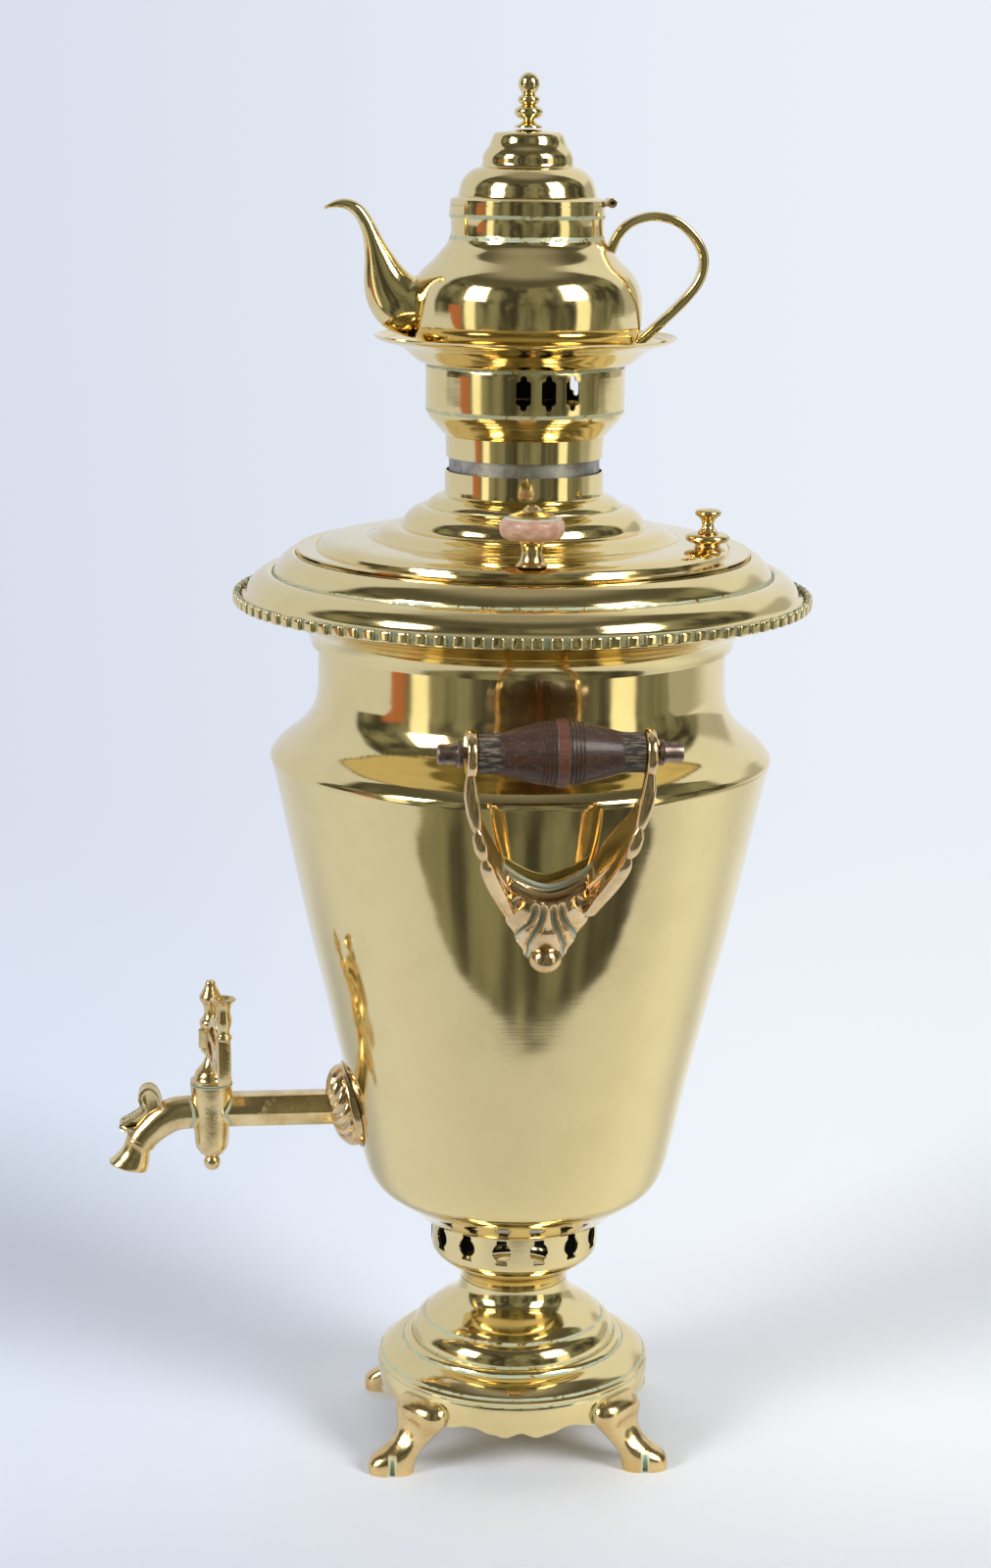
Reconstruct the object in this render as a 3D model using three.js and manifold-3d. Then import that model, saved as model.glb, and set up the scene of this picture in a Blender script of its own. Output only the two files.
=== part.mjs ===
// A charcoal-fired brass samovar with its crown and teapot, in millimetres, +Z up.
// It stands on the floor at z = 0. The tap points to -X and the two handles lie at -Y and +Y.
// Coaxial pieces are revolved about one axis and stacked: each level below is worked out from
// the piece that carries it, so a changed height or radius moves all that stands on it.

import * as THREE from "three";
import { mergeVertices } from "three/addons/utils/BufferGeometryUtils.js";
import Module from "manifold-3d";

const wasm = await Module();
wasm.setup();

// Clearances and steps
const clearance = 0.3;
const overrun = 4;
const weld = 0.0001;
const roundSteps = 24;
const potSteps = 20;
const smallSteps = 12;
const tinySteps = 8;
const insideDetailShare = 0.5;
const offsetSlackShare = 0.05;

// Plinth and feet
const apronLift = 23;
const plinthHeight = 57;
const plinthRadius = 65.3;
const neckRadius = 25.6;
const plinthSheet = 1.4;
const apronScallop = 4;
const baseTurn = THREE.MathUtils.degToRad(-2.4);
const hoofWidth = 21.5;
const hoofDepth = 14;
const hoofHeight = 10;
const ankleHeight = 15;
const ankleWidth = 13.4;
const legTop = 37;
const legWidth = 30;
const cleftWidth = 2.6;
const cleftDepth = 3;
const cleftLean = THREE.MathUtils.degToRad(7.5);

// Vent drum
const drumHeight = 33.2;
const drumRadius = 39.9;
const drumSheet = 1.2;
const spigotLength = 7;
const ventCount = 14;
const ventHeight = 12;
const ventWidth = 9;
const ventTurn = THREE.MathUtils.degToRad(-1.9);

// Water body
const bodySheet = 1;
const bowlHeight = 42;
const coneHeight = 181.5;
const shoulderHeight = 39;
const throatHeight = 52;
const waistRadius = 75.3;
const shoulderRadius = 116.2;
const throatRadius = 94;

// Fire tube and grate
const tubeFootRadius = 37.5;
const tubeTopRadius = 34.3;
const tubeWall = 1.5;
const tubeTaperHeight = 286;
const tubeAboveRim = 58;
const tubeFlange = 1.9;
const grateThickness = 3;
const grateSeat = 2;
const grateSlot = 4;
const grateBar = 5;

// Top flange and bead rim
const flangeRadius = 130;
const flangeDepth = 40;
const flangeSheet = 1.2;
const beadPitch = 8.2;
const beadDepth = 2.6;
const beadSink = 1.3;
const beadHeight = 5.4;

// Lid with its knobs and steam vent
const lidSheet = 0.8;
const lidRise = 39.5;
const lidRadius = 103.6;
const lidFootRadius = 36.5;
const lidSkirtDepth = 7;
const fittingCircle = 87;
const knobTurn = THREE.MathUtils.degToRad(-94);
const knobStemHeight = 12;
const knobStemRadius = 7.1;
const knobScrewRadius = 2;
const knobDiscRadius = 14;
const knobDiscHeight = 9.5;
const knobCapRadius = 9;
const knobCapHeight = 4.5;
const steamTurn = THREE.MathUtils.degToRad(-24.3);
const steamSeatRadius = 10;
const steamSeatHeight = 7.5;
const steamPlugRadius = 3.4;
const steamKnobHeight = 10.5;
const steamKnobRadius = 6;
const steamHoleRadius = 1;

// Crown that carries the teapot
const crownSheet = 1;
const crownSleeve = 10.8;
const crownFlareHeight = 11;
const crownDrumHeight = 20;
const crownRadius = 45.2;
const trayRadius = 68.6;
const trayHeight = 11.4;
const trayLedgeWidth = 11;
const tubeLedgeWidth = 2;
const smokeSlotWidth = 6.5;
const smokeSlotHeight = 15.5;
const smokeSlotLevelShare = 0.53;
const smokeSlotPitch = THREE.MathUtils.degToRad(14.3);
const smokeTurn = THREE.MathUtils.degToRad(7);

// Teapot
const potSheet = 0.8;
const potRadius = 52.3;
const potHeight = 69;
const spoutReach = 38;
const spoutRise = 62;
const spoutRootRadius = 13.5;
const spoutRootLevelShare = 0.36;
const spoutDepthShare = 0.8;
const strainerRadius = 1.6;
const handleReach = 28;
const handleThickness = 4.5;
const handleWidth = 8;
const potLidHeight = 33.2;
const potLidSkirt = 5;
const finialHeight = 24.2;
const finialRadius = 6.6;
const hingeRadius = 2.2;
const hingeWidth = 14;
const hingePinRadius = 0.9;

// Tap
const tapReach = 144.8;
const tapAboveWaist = 10.8;
const rosetteRadius = 20;
const rosetteHeight = 11;
const rosetteLobes = 14;
const shankRadius = 5.5;
const pipeAcrossFlats = 15;
const tapNutRadius = 10;
const tapNutHeight = 5;
const barrelRadius = 9.6;
const barrelHeight = 33;
const plugRadius = 5.6;
const waterwayRadius = 3.6;
const tapSpoutReach = 40;
const tapSpoutDrop = 30;
const tapSpoutRadius = 8.2;
const scrollThickness = 6;
const keyHeight = 49;
const keyArmReach = 28;
const keyArmThickness = 4.4;
const keyTurn = THREE.MathUtils.degToRad(-78);
const ballNutRadius = 3.8;

// Handles
const gripLength = 70;
const gripRadius = 14.3;
const gripOut = 148;
const gripAboveShoulder = 31.5;
const rodRadius = 3;
const eyeRadius = 10.2;
const eyeWidth = 4;
const rodCollarRadius = 5.7;
const rodCapLength = 12;
const armRadius = 4.4;
const shellHeight = 46;
const shellWidth = 42;
const shellBelowShoulder = 69;
const shellRayRadius = 5;
const shellBallRadius = 7.4;
const shellStudRadius = 2.5;
const shellNutRadius = 5.5;
const shellNutHeight = 4;

// Finishes
const finish = (color, roughness, metalness) => ({ color, roughness, metalness });
const brass = finish(0xc9a24a, 0.24, 1);
const castBrass = finish(0xbd8d45, 0.34, 1);
const tinned = finish(0x9a9a92, 0.42, 1);
const blackIron = finish(0x2c2a28, 0.7, 0.8);
const wood = finish(0x4a2a17, 0.5, 0);
const stone = finish(0xc59a86, 0.45, 0);

// Solids: a geometry is welded, cleared of empty triangles and turned face outward, then cut or joined.
function toSolid(geometry) {
  const bare = new THREE.BufferGeometry();
  bare.setAttribute("position", geometry.getAttribute("position"));
  if (geometry.index) bare.setIndex(geometry.index);
  const merged = mergeVertices(bare, weld);
  const positions = merged.getAttribute("position");
  const corner = (index) => new THREE.Vector3().fromBufferAttribute(positions, index);
  const faces = [];
  let volume = 0;
  for (let i = 0; i < merged.index.count; i += 3) {
    const [a, b, c] = [0, 1, 2].map((step) => merged.index.getX(i + step));
    if (a === b || b === c || c === a) continue;
    faces.push([a, b, c]);
    volume += corner(a).dot(corner(b).cross(corner(c)));
  }
  const outward = volume < 0 ? faces.map(([a, b, c]) => [a, c, b]) : faces;
  const vertProperties = new Float32Array(positions.array);
  const triVerts = new Uint32Array(outward.flat());
  return new wasm.Manifold(new wasm.Mesh({ numProp: 3, vertProperties, triVerts }));
}

function toGeometry(solid) {
  const mesh = solid.getMesh();
  const geometry = new THREE.BufferGeometry();
  geometry.setAttribute("position", new THREE.BufferAttribute(new Float32Array(mesh.vertProperties), 3));
  geometry.setIndex(new THREE.BufferAttribute(new Uint32Array(mesh.triVerts), 1));
  return geometry;
}

const join = (first, ...others) =>
  toGeometry(others.reduce((sum, other) => sum.add(toSolid(other)), toSolid(first)));
const common = (first, other) => toGeometry(toSolid(first).intersect(toSolid(other)));
const cut = (first, ...others) =>
  toGeometry(others.reduce((rest, other) => rest.subtract(toSolid(other)), toSolid(first)));

// Outlines are lists of [radius, height] or [across, up]
const between = (from, to, share) => from + (to - from) * share;
const stretch = (shares, r0, r1, z0, z1) =>
  shares.map(([across, up]) => [between(r0, r1, across), between(z0, z1, up)]);

function distanceToPath([r, z], path) {
  const point = new THREE.Vector3(r, z, 0);
  const nearest = new THREE.Vector3();
  return path.slice(1).reduce((least, end, i) => {
    const line = new THREE.Line3(new THREE.Vector3(...path[i], 0), new THREE.Vector3(...end, 0));
    line.closestPointToPoint(point, true, nearest);
    return Math.min(least, nearest.distanceTo(point));
  }, Infinity);
}

// Moves an open outline sideways, to the left of its direction, and drops points that come too near it.
function offsetPath(path, distance) {
  const last = path.length - 1;
  const direction = (i) => new THREE.Vector2(...path[i + 1]).sub(new THREE.Vector2(...path[i])).normalize();
  const moved = path.map(([r, z], i) => {
    const before = direction(Math.max(i - 1, 0));
    const after = direction(Math.min(i, last - 1));
    const along = before.clone().add(after).normalize();
    const mitre = distance / Math.max(along.dot(before), 0.5);
    return [Math.max(r - along.y * mitre, 0), z + along.x * mitre];
  });
  return moved.filter((point) => distanceToPath(point, path) > Math.abs(distance) * (1 - offsetSlackShare));
}

// Keeps only the points that an outline needs to stay within a tolerance of its shape
function simplify(path, tolerance) {
  if (path.length < 3) return path;
  const chord = [path[0], path[path.length - 1]];
  const offsets = path.map((point) => distanceToPath(point, chord));
  const worst = offsets.indexOf(Math.max(...offsets));
  if (offsets[worst] <= tolerance) return chord;
  const head = simplify(path.slice(0, worst + 1), tolerance);
  return [...head.slice(0, -1), ...simplify(path.slice(worst), tolerance)];
}

// Revolves a closed outline about the Z axis
function revolve(outline, steps = roundSteps) {
  const points = [...outline, outline[0]].map(([r, z]) => new THREE.Vector2(r, z));
  return new THREE.LatheGeometry(points, steps).rotateX(Math.PI / 2);
}

const ring = (inner, outer, z0, z1, steps) =>
  revolve([[inner, z0], [outer, z0], [outer, z1], [inner, z1]], steps);
const disc = (radius, z0, z1, steps) => ring(0, radius, z0, z1, steps);

// Sheet metal spun to an outer outline, with its wall on the outline's left
function spun(outline, wall, steps) {
  const inside = offsetPath(simplify(outline, wall * insideDetailShare), wall);
  return revolve([...outline, ...inside.reverse()], steps);
}

// The full solid inside an outer outline, grown by the clearance, to cut what lies against it
function grown(outline, steps) {
  const outside = offsetPath(outline, -clearance);
  const [start, end] = [outside[0], outside[outside.length - 1]];
  return revolve([[0, start[1]], ...outside, [0, end[1]]], steps);
}

// Skins rings of points, one after the other, and closes both ends or joins the last to the first
function loft(rings, endless = false) {
  const count = rings[0].length;
  const points = rings.flat();
  const total = points.length;
  const faces = [];
  for (let level = 0; level < rings.length - (endless ? 0 : 1); level += 1) {
    for (let i = 0; i < count; i += 1) {
      const a = level * count + i;
      const b = level * count + ((i + 1) % count);
      const [c, d] = [(a + count) % total, (b + count) % total];
      faces.push(a, b, c, b, d, c);
    }
  }
  if (!endless) {
    const sum = (list) => list.reduce((whole, point) => whole.add(point), new THREE.Vector3());
    const middle = (list) => sum(list).divideScalar(count);
    points.push(middle(rings[0]), middle(rings[rings.length - 1]));
    for (let i = 0; i < count; i += 1) {
      const next = (i + 1) % count;
      faces.push(total, next, i, total + 1, total - count + i, total - count + next);
    }
  }
  const geometry = new THREE.BufferGeometry().setFromPoints(points);
  geometry.setIndex(faces);
  return geometry;
}

const circle = (centre, u, v, sides) =>
  Array.from({ length: sides }, (_, i) => {
    const angle = (2 * Math.PI * i) / sides;
    return centre.clone().addScaledVector(u, Math.cos(angle)).addScaledVector(v, Math.sin(angle));
  });

// A round or oval bar along a smooth route; its radii are spread evenly over the route's points
function sweep(route, radii, sides, reference, squashShare = 1, stepsPerPoint = 2) {
  const curve = new THREE.CatmullRomCurve3(route.map((point) => new THREE.Vector3(...point)));
  const steps = (route.length - 1) * stepsPerPoint;
  const rings = Array.from({ length: steps + 1 }, (_, i) => {
    const place = (i / steps) * (route.length - 1);
    const start = Math.min(Math.floor(place), route.length - 2);
    const radius = between(radii[start], radii[start + 1], place - start);
    const along = curve.getTangent(i / steps);
    const across = new THREE.Vector3().crossVectors(reference, along).normalize();
    const side = new THREE.Vector3().crossVectors(along, across);
    const centre = curve.getPoint(i / steps);
    return circle(centre, across.multiplyScalar(radius), side.multiplyScalar(radius * squashShare), sides);
  });
  return loft(rings);
}

// A flat outline in the XZ plane, extruded along Y and centred on it
function plate(outline, thickness, holes = []) {
  const shape = new THREE.Shape(outline.map(([x, z]) => new THREE.Vector2(x, z)));
  shape.holes = holes.map((hole) => new THREE.Path(hole.map(([x, z]) => new THREE.Vector2(x, z))));
  const geometry = new THREE.ExtrudeGeometry(shape, { depth: thickness, bevelEnabled: false });
  return geometry.translate(0, 0, -thickness / 2).rotateX(Math.PI / 2);
}

const smoothOutline = (points, closed, steps) =>
  new THREE.CatmullRomCurve3(points.map(([x, z]) => new THREE.Vector3(x, z, 0)), closed)
    .getPoints(steps).slice(0, closed ? -1 : undefined).map((point) => [point.x, point.y]);

const yAxis = new THREE.Vector3(0, 1, 0);
const xAxis = new THREE.Vector3(1, 0, 0);

const samovar = new THREE.Group();

function addPiece(name, geometry, look, parent = samovar) {
  const material = new THREE.MeshStandardMaterial({ ...look, flatShading: true });
  const mesh = new THREE.Mesh(toGeometry(toSolid(geometry)), material);
  mesh.name = name;
  parent.add(mesh);
  return mesh;
}

// Levels of the stack, from the floor up
const plinthTop = apronLift + plinthHeight;
const drumBottom = plinthTop + clearance;
const drumTop = drumBottom + drumHeight;
const bodyBottom = drumTop + clearance;
const waistLevel = bodyBottom + bowlHeight;
const shoulderLevel = waistLevel + coneHeight;
const throatLevel = shoulderLevel + shoulderHeight;
const throatTop = throatLevel + throatHeight;
const seatLevel = throatTop + clearance + flangeSheet;
const tubeFoot = bodyBottom + bodySheet + clearance;
const tubeTop = throatTop + tubeAboveRim;
const lidLevel = seatLevel + clearance;
const lidTop = lidLevel + lidRise;
const crownShelf = tubeTop + clearance;
const crownDrumLevel = crownShelf + crownFlareHeight;
const crownDrumTop = crownDrumLevel + crownDrumHeight;
const potLevel = crownDrumTop + crownSheet + clearance;
const potTop = potLevel + potHeight;
const potLidLevel = potTop + clearance;

// Base: a scalloped plinth on four cast hooves
const plinthShares = [
  [0.967, 0], [1, 0.246], [0.985, 0.279], [0.997, 0.315], [0.93, 0.36], [0.79, 0.425], [0.688, 0.447],
  [0.64, 0.495], [0.578, 0.49], [0.545, 0.6], [0.433, 0.663], [0.149, 0.811], [0.04, 0.89], [0, 1],
];
const apronShares = [
  [-0.7, 0.5], [-0.515, 0.5], [-0.41, 1], [-0.34, 1], [-0.22, 0.375], [-0.11, 0],
  [0, 0.625], [0.11, 0], [0.22, 0.375], [0.34, 1], [0.41, 1], [0.515, 0.5], [0.7, 0.5],
];
const plinthOutline = stretch(plinthShares, neckRadius, plinthRadius, apronLift, plinthTop);
const neckInner = neckRadius - plinthSheet;

function plinth() {
  const edge = apronShares.map(([across, up]) => [plinthRadius * across, apronLift + apronScallop * up]);
  const below = apronLift - overrun;
  const scallops = [[edge[0][0], below], ...smoothOutline(edge, false, 24), [-edge[0][0], below]];
  const cutter = plate(scallops, 2 * (plinthRadius + overrun));
  return cut(spun(plinthOutline, plinthSheet), cutter, cutter.clone().rotateZ(Math.PI / 2));
}

// One leg is lofted through flat rings from the floor up. Each has its height between two levels, its
// place as shares of the plinth's radius, its half width and half depth as shares of the sizes named,
// and its turn as a share of the way to the diagonal
const ankleToTop = [ankleHeight, legTop];
const legShares = [
  { levels: [0, hoofHeight], up: 0, out: [0.923, 0.735], width: hoofWidth, half: [0.5, 0.5], turn: 0 },
  { levels: [0, hoofHeight], up: 1, out: [0.915, 0.735], width: hoofWidth, half: [0.43, 0.5], turn: 0 },
  { levels: ankleToTop, up: 0, out: [0.86, 0.705], width: ankleWidth, half: [0.5, 0.43], turn: 0.25 },
  { levels: ankleToTop, up: 0.32, out: [0.79, 0.7], width: ankleWidth, half: [0.65, 0.5], turn: 0.6 },
  { levels: ankleToTop, up: 0.64, out: [0.735, 0.705], width: legWidth, half: [0.42, 0.55], turn: 1 },
  { levels: ankleToTop, up: 0.86, out: [0.7, 0.7], width: legWidth, half: [0.5, 0.5], turn: 1 },
  { levels: ankleToTop, up: 1, out: [0.69, 0.69], width: legWidth, half: [0.3, 0.42], turn: 1 },
];

function foot() {
  const legOut = plinthRadius * Math.SQRT1_2;
  const rings = legShares.map(({ levels, up, out: [outX, outY], width, half, turn }) => {
    const angle = THREE.MathUtils.degToRad(45) * turn;
    const across = new THREE.Vector3(Math.cos(angle), Math.sin(angle), 0).multiplyScalar(width * half[0]);
    const deep = new THREE.Vector3(-Math.sin(angle), Math.cos(angle), 0).multiplyScalar(hoofDepth * half[1]);
    const centre = new THREE.Vector3(outX * plinthRadius, -outY * plinthRadius, between(...levels, up));
    return circle(centre, across, deep, smallSteps);
  });
  const [toeX, toeY] = legShares[0].out.map((share) => share * plinthRadius);
  const toe = new THREE.BoxGeometry(cleftWidth, 2 * cleftDepth, hoofHeight + 2 * overrun);
  toe.rotateX(cleftLean).translate(toeX, -toeY - hoofDepth / 2, hoofHeight / 2 - overrun);
  const skirt = grown(plinthOutline);
  const inner = disc(legOut, apronLift - overrun, legTop);
  return cut(loft(rings), skirt, inner, toe);
}

const base = new THREE.Group();
base.rotation.z = baseTurn;
samovar.add(base);
addPiece("plinth", plinth(), brass, base);
const footShape = foot();
for (const [depth, sideY] of [["front", 1], ["rear", -1]]) {
  for (const [hand, sideX] of [["right", 1], ["left", -1]]) {
    addPiece(`foot_${depth}_${hand}`, footShape.clone().scale(sideX, sideY, 1), castBrass, base);
  }
}

// Vent drum: air for the fire comes in through a ring of keyhole vents
const drumShares = [[0, 0], [0.07, 0.09], [0.3, 0.21], [0.657, 0.331], [0.902, 0.416], [1, 0.512], [1, 1]];
const ventLevelShare = 0.75;
const grateHole = tubeFootRadius - tubeWall - grateSeat;

function ventDrum() {
  const spigotRadius = neckInner - clearance;
  const spigot = [[spigotRadius, drumBottom - spigotLength], [spigotRadius, drumBottom]];
  const wall = stretch(drumShares, neckRadius, drumRadius, drumBottom, drumTop);
  const drum = join(
    spun([...spigot, ...wall], drumSheet),
    ring(grateHole, drumRadius - drumSheet / 2, drumTop - drumSheet, drumTop),
  );
  const middle = between(drumBottom, drumTop, ventLevelShare);
  const half = [ventWidth / 2, ventHeight / 2];
  const bulgeShares = [[0.55, -1], [0.55, -0.55], [1, 0.05], [0.55, 0.6], [0.55, 1]];
  const right = bulgeShares.map(([across, up]) => [half[0] * across, middle + half[1] * up]);
  const left = right.map(([x, z]) => [-x, z]).reverse();
  const vent = plate([...right, ...left], 2 * (drumRadius + overrun));
  const vents = Array.from({ length: ventCount / 2 }, (_, i) =>
    vent.clone().rotateZ(ventTurn + (2 * Math.PI * (i + 0.5)) / ventCount));
  return cut(drum, ...vents);
}

addPiece("vent_drum", ventDrum(), brass);

// Water body: bowl, long cone, rounded shoulder and straight throat, spun in one
const bowlShares = [[0, 0], [0.24, 0.03], [0.59, 0.28], [0.8, 0.44], [0.9, 0.66], [1, 1]];
const coneShares = [[0.557, 0.537], [0.929, 0.932], [1, 1]];
const shoulderShares = [[0.914, 0.1], [0.45, 0.333], [0.15, 0.53], [0, 0.85]];
const bodyOutline = [
  ...stretch(bowlShares, drumRadius, waistRadius, bodyBottom, waistLevel),
  ...stretch(coneShares, waistRadius, shoulderRadius, waistLevel, shoulderLevel),
  ...stretch(shoulderShares, throatRadius, shoulderRadius, shoulderLevel, throatLevel),
  [throatRadius, throatTop],
];
const grownBody = grown(bodyOutline);
const roomPath = offsetPath(simplify(bodyOutline, bodySheet * insideDetailShare), bodySheet + clearance);
const bodyRoom = revolve([[0, roomPath[0][1]], ...roomPath, [0, throatTop]]);

function bodyRadiusAt(level) {
  const next = bodyOutline.findIndex(([, z]) => z > level);
  const [[r0, z0], [r1, z1]] = [bodyOutline[next - 1], bodyOutline[next]];
  return between(r0, r1, (level - z0) / (z1 - z0));
}

const tapLevel = waistLevel + tapAboveWaist;
const shellLevel = shoulderLevel - shellBelowShoulder;
const alongX = (radius, x0, x1, level, steps = smallSteps) =>
  disc(radius, x0, x1, steps).rotateY(Math.PI / 2).translate(0, 0, level);
const alongY = (radius, y0, y1, level, steps = smallSteps) =>
  disc(radius, -y1, -y0, steps).rotateX(Math.PI / 2).translate(0, 0, level);

function bodyShell() {
  const shell = spun([[grateHole, bodyBottom], ...bodyOutline], bodySheet);
  const tapHole = alongX(shankRadius + clearance, -tapReach, -grateHole, tapLevel);
  const studHole = alongY(shellStudRadius + clearance, -gripOut, gripOut, shellLevel, tinySteps);
  return cut(shell, tapHole, studHole);
}

addPiece("body_shell", bodyShell(), brass);

// Fire tube with its foot flange on the body's floor, and the grate inside it
function fireTube() {
  const taperTop = tubeFoot + tubeTaperHeight;
  const flangeTop = tubeFoot + tubeWall;
  return revolve([
    [tubeFootRadius - tubeWall, tubeFoot], [tubeFootRadius + tubeFlange, tubeFoot],
    [tubeFootRadius + tubeFlange, flangeTop], [tubeFootRadius, flangeTop],
    [tubeTopRadius, taperTop], [tubeTopRadius, tubeTop],
    [tubeTopRadius - tubeWall, tubeTop], [tubeTopRadius - tubeWall, taperTop],
    [tubeFootRadius - tubeWall, flangeTop],
  ]);
}

function grate() {
  const radius = tubeFootRadius - tubeWall - clearance;
  const plateTop = tubeFoot + grateThickness;
  const pitch = grateSlot + grateBar;
  const rowsEachSide = Math.floor((radius - 2 * grateBar) / pitch);
  const slots = [];
  for (let row = -rowsEachSide; row <= rowsEachSide; row += 1) {
    const y = row * pitch;
    const length = 2 * Math.sqrt(radius ** 2 - y ** 2) - 3 * grateBar;
    const slot = new THREE.BoxGeometry(length, grateSlot, grateThickness + 2 * overrun);
    slots.push(slot.translate(0, y, plateTop));
  }
  return cut(disc(radius, tubeFoot, plateTop), ...slots);
}

addPiece("fire_tube", fireTube(), tinned);
addPiece("fire_grate", grate(), blackIron);

// Top flange: a hollow moulding with a sleeve round the throat and a seat for the lid
const flangeShares = [
  [0.111, 0.1125], [0.389, 0.3125], [1, 0.5], [0.986, 0.5825], [0.917, 0.625], [0.8, 0.775],
  [0.653, 0.8475], [0.567, 0.82], [0.486, 0.9625], [0.375, 1.0475], [0.283, 1.0625], [0.278, 1],
];

function topFlange() {
  const bottom = seatLevel - flangeDepth;
  const sleeve = throatRadius + clearance + flangeSheet;
  const moulding = stretch(flangeShares, throatRadius, flangeRadius, bottom, seatLevel);
  return spun([[sleeve, bottom], ...moulding, [throatRadius - bodySheet, seatLevel]], flangeSheet);
}

// The bead rim swells and narrows once for each bead
function beadRim() {
  const inner = flangeRadius + clearance;
  const outer = inner + beadDepth;
  const beads = Math.round((2 * Math.PI * outer) / beadPitch);
  const bottom = seatLevel - flangeDepth / 2 - beadHeight / 10;
  const stations = Array.from({ length: 2 * beads }, (_, i) => {
    const angle = (Math.PI * i) / beads;
    const swell = i % 2 ? outer - beadSink : outer;
    const section = [[inner, 0], [inner, 1], [swell, 0.5]];
    return section.map(([r, up]) =>
      new THREE.Vector3(r * Math.cos(angle), r * Math.sin(angle), bottom + beadHeight * up));
  });
  return loft(stations, true);
}

addPiece("top_flange", topFlange(), brass);
addPiece("bead_rim", beadRim(), brass);

// Lid: three rolls step down from a collar round the fire tube to a broad dome and a flat ledge
const lidShares = [
  [0.862, 0.03], [0.79, 0.165], [0.5, 0.185], [0.44, 0.3], [0.3, 0.33], [0.245, 0.5],
  [0.13, 0.57], [0, 0.69],
];
const collarRadius = tubeTopRadius + clearance + lidSheet;
const fitting = (turn) => [fittingCircle * Math.cos(turn), fittingCircle * Math.sin(turn)];

function lidTopAt(radius) {
  const points = stretch(lidShares, lidFootRadius, lidRadius, lidLevel, lidTop);
  const next = points.findIndex(([r]) => r <= radius);
  const [[r0, z0], [r1, z1]] = [points[next - 1], points[next]];
  return between(z0, z1, (radius - r0) / (r1 - r0));
}

function lid() {
  const rim = [lidRadius, lidLevel + lidSheet];
  const dome = stretch(lidShares, lidFootRadius, lidRadius, lidLevel, lidTop);
  const collar = [[collarRadius, dome[dome.length - 1][1] + lidSheet], [collarRadius, lidTop]];
  const skirtOuter = throatRadius - bodySheet - clearance;
  const skirtTop = lidTopAt(skirtOuter - lidSheet / 2) - lidSheet / 2;
  const skirt = ring(skirtOuter - lidSheet, skirtOuter, lidLevel - lidSkirtDepth, skirtTop);
  const holes = [knobTurn, knobTurn + Math.PI].map((turn) =>
    disc(knobScrewRadius + clearance, lidLevel, lidTop, tinySteps).translate(...fitting(turn), 0));
  const steamHole = disc(steamPlugRadius + clearance, lidLevel, lidTop, tinySteps);
  return cut(join(spun([rim, ...dome, ...collar], lidSheet), skirt), ...holes,
    steamHole.translate(...fitting(steamTurn), 0));
}

addPiece("lid", lid(), brass);

// Each lid knob is a brass stem screwed through the lid, a stone disc and a domed brass cap
const fittingLevel = lidTopAt(fittingCircle - knobStemRadius) + clearance;
for (const [hand, turn] of [["front", knobTurn], ["rear", knobTurn + Math.PI]]) {
  const [x, y] = fitting(turn);
  const discLevel = fittingLevel + knobStemHeight + clearance;
  const capLevel = discLevel + knobDiscHeight + clearance;
  const screwBottom = lidLevel - lidSheet;
  const stemShares = [[0.95, 0], [0.65, 0.2], [0.63, 0.6], [1, 1]];
  const stemOutline = stretch(stemShares, 0, knobStemRadius, fittingLevel, discLevel - clearance);
  const stem = revolve([
    [0, screwBottom], [knobScrewRadius, screwBottom], [knobScrewRadius, fittingLevel],
    ...stemOutline, [knobScrewRadius, discLevel - clearance], [knobScrewRadius, capLevel], [0, capLevel],
  ], tinySteps);
  const discShares = [[0.8, 0], [1, 0.25], [1, 0.75], [0.8, 1]];
  const discOutline = stretch(discShares, 0, knobDiscRadius, discLevel, capLevel - clearance);
  const bore = knobScrewRadius + clearance;
  const stoneDisc = revolve([[bore, discLevel], ...discOutline, [bore, capLevel - clearance]], smallSteps);
  const capShares = [[1, 0], [1, 0.25], [0.75, 0.65], [0.3, 1], [0, 1]];
  const capBase = capLevel + clearance;
  const capOutline = stretch(capShares, 0, knobCapRadius, capBase, capBase + knobCapHeight);
  const cap = revolve([[0, capBase], ...capOutline], tinySteps);
  addPiece(`lid_knob_${hand}_stem`, stem.translate(x, y, 0), castBrass);
  addPiece(`lid_knob_${hand}_disc`, stoneDisc.translate(x, y, 0), stone);
  addPiece(`lid_knob_${hand}_cap`, cap.translate(x, y, 0), brass);
}

// Steam vent: a drilled plug turns in its seat and lets steam out when its hole lines up
const steamPortLevel = fittingLevel + steamSeatHeight / 4;

function steamSeat() {
  const bore = steamPlugRadius + clearance;
  const shares = [[0.8, 0], [0.55, 0.25], [0.6, 0.45], [1, 0.55], [1, 0.9], [0.85, 1]];
  const outline = stretch(shares, 0, steamSeatRadius, fittingLevel, fittingLevel + steamSeatHeight);
  const top = fittingLevel + steamSeatHeight;
  const seat = revolve([[bore, fittingLevel], ...outline, [bore, top]], smallSteps);
  const port = alongX(steamHoleRadius, 0, steamSeatRadius + overrun, steamPortLevel, tinySteps);
  return cut(seat, port).translate(...fitting(steamTurn), 0);
}

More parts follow.
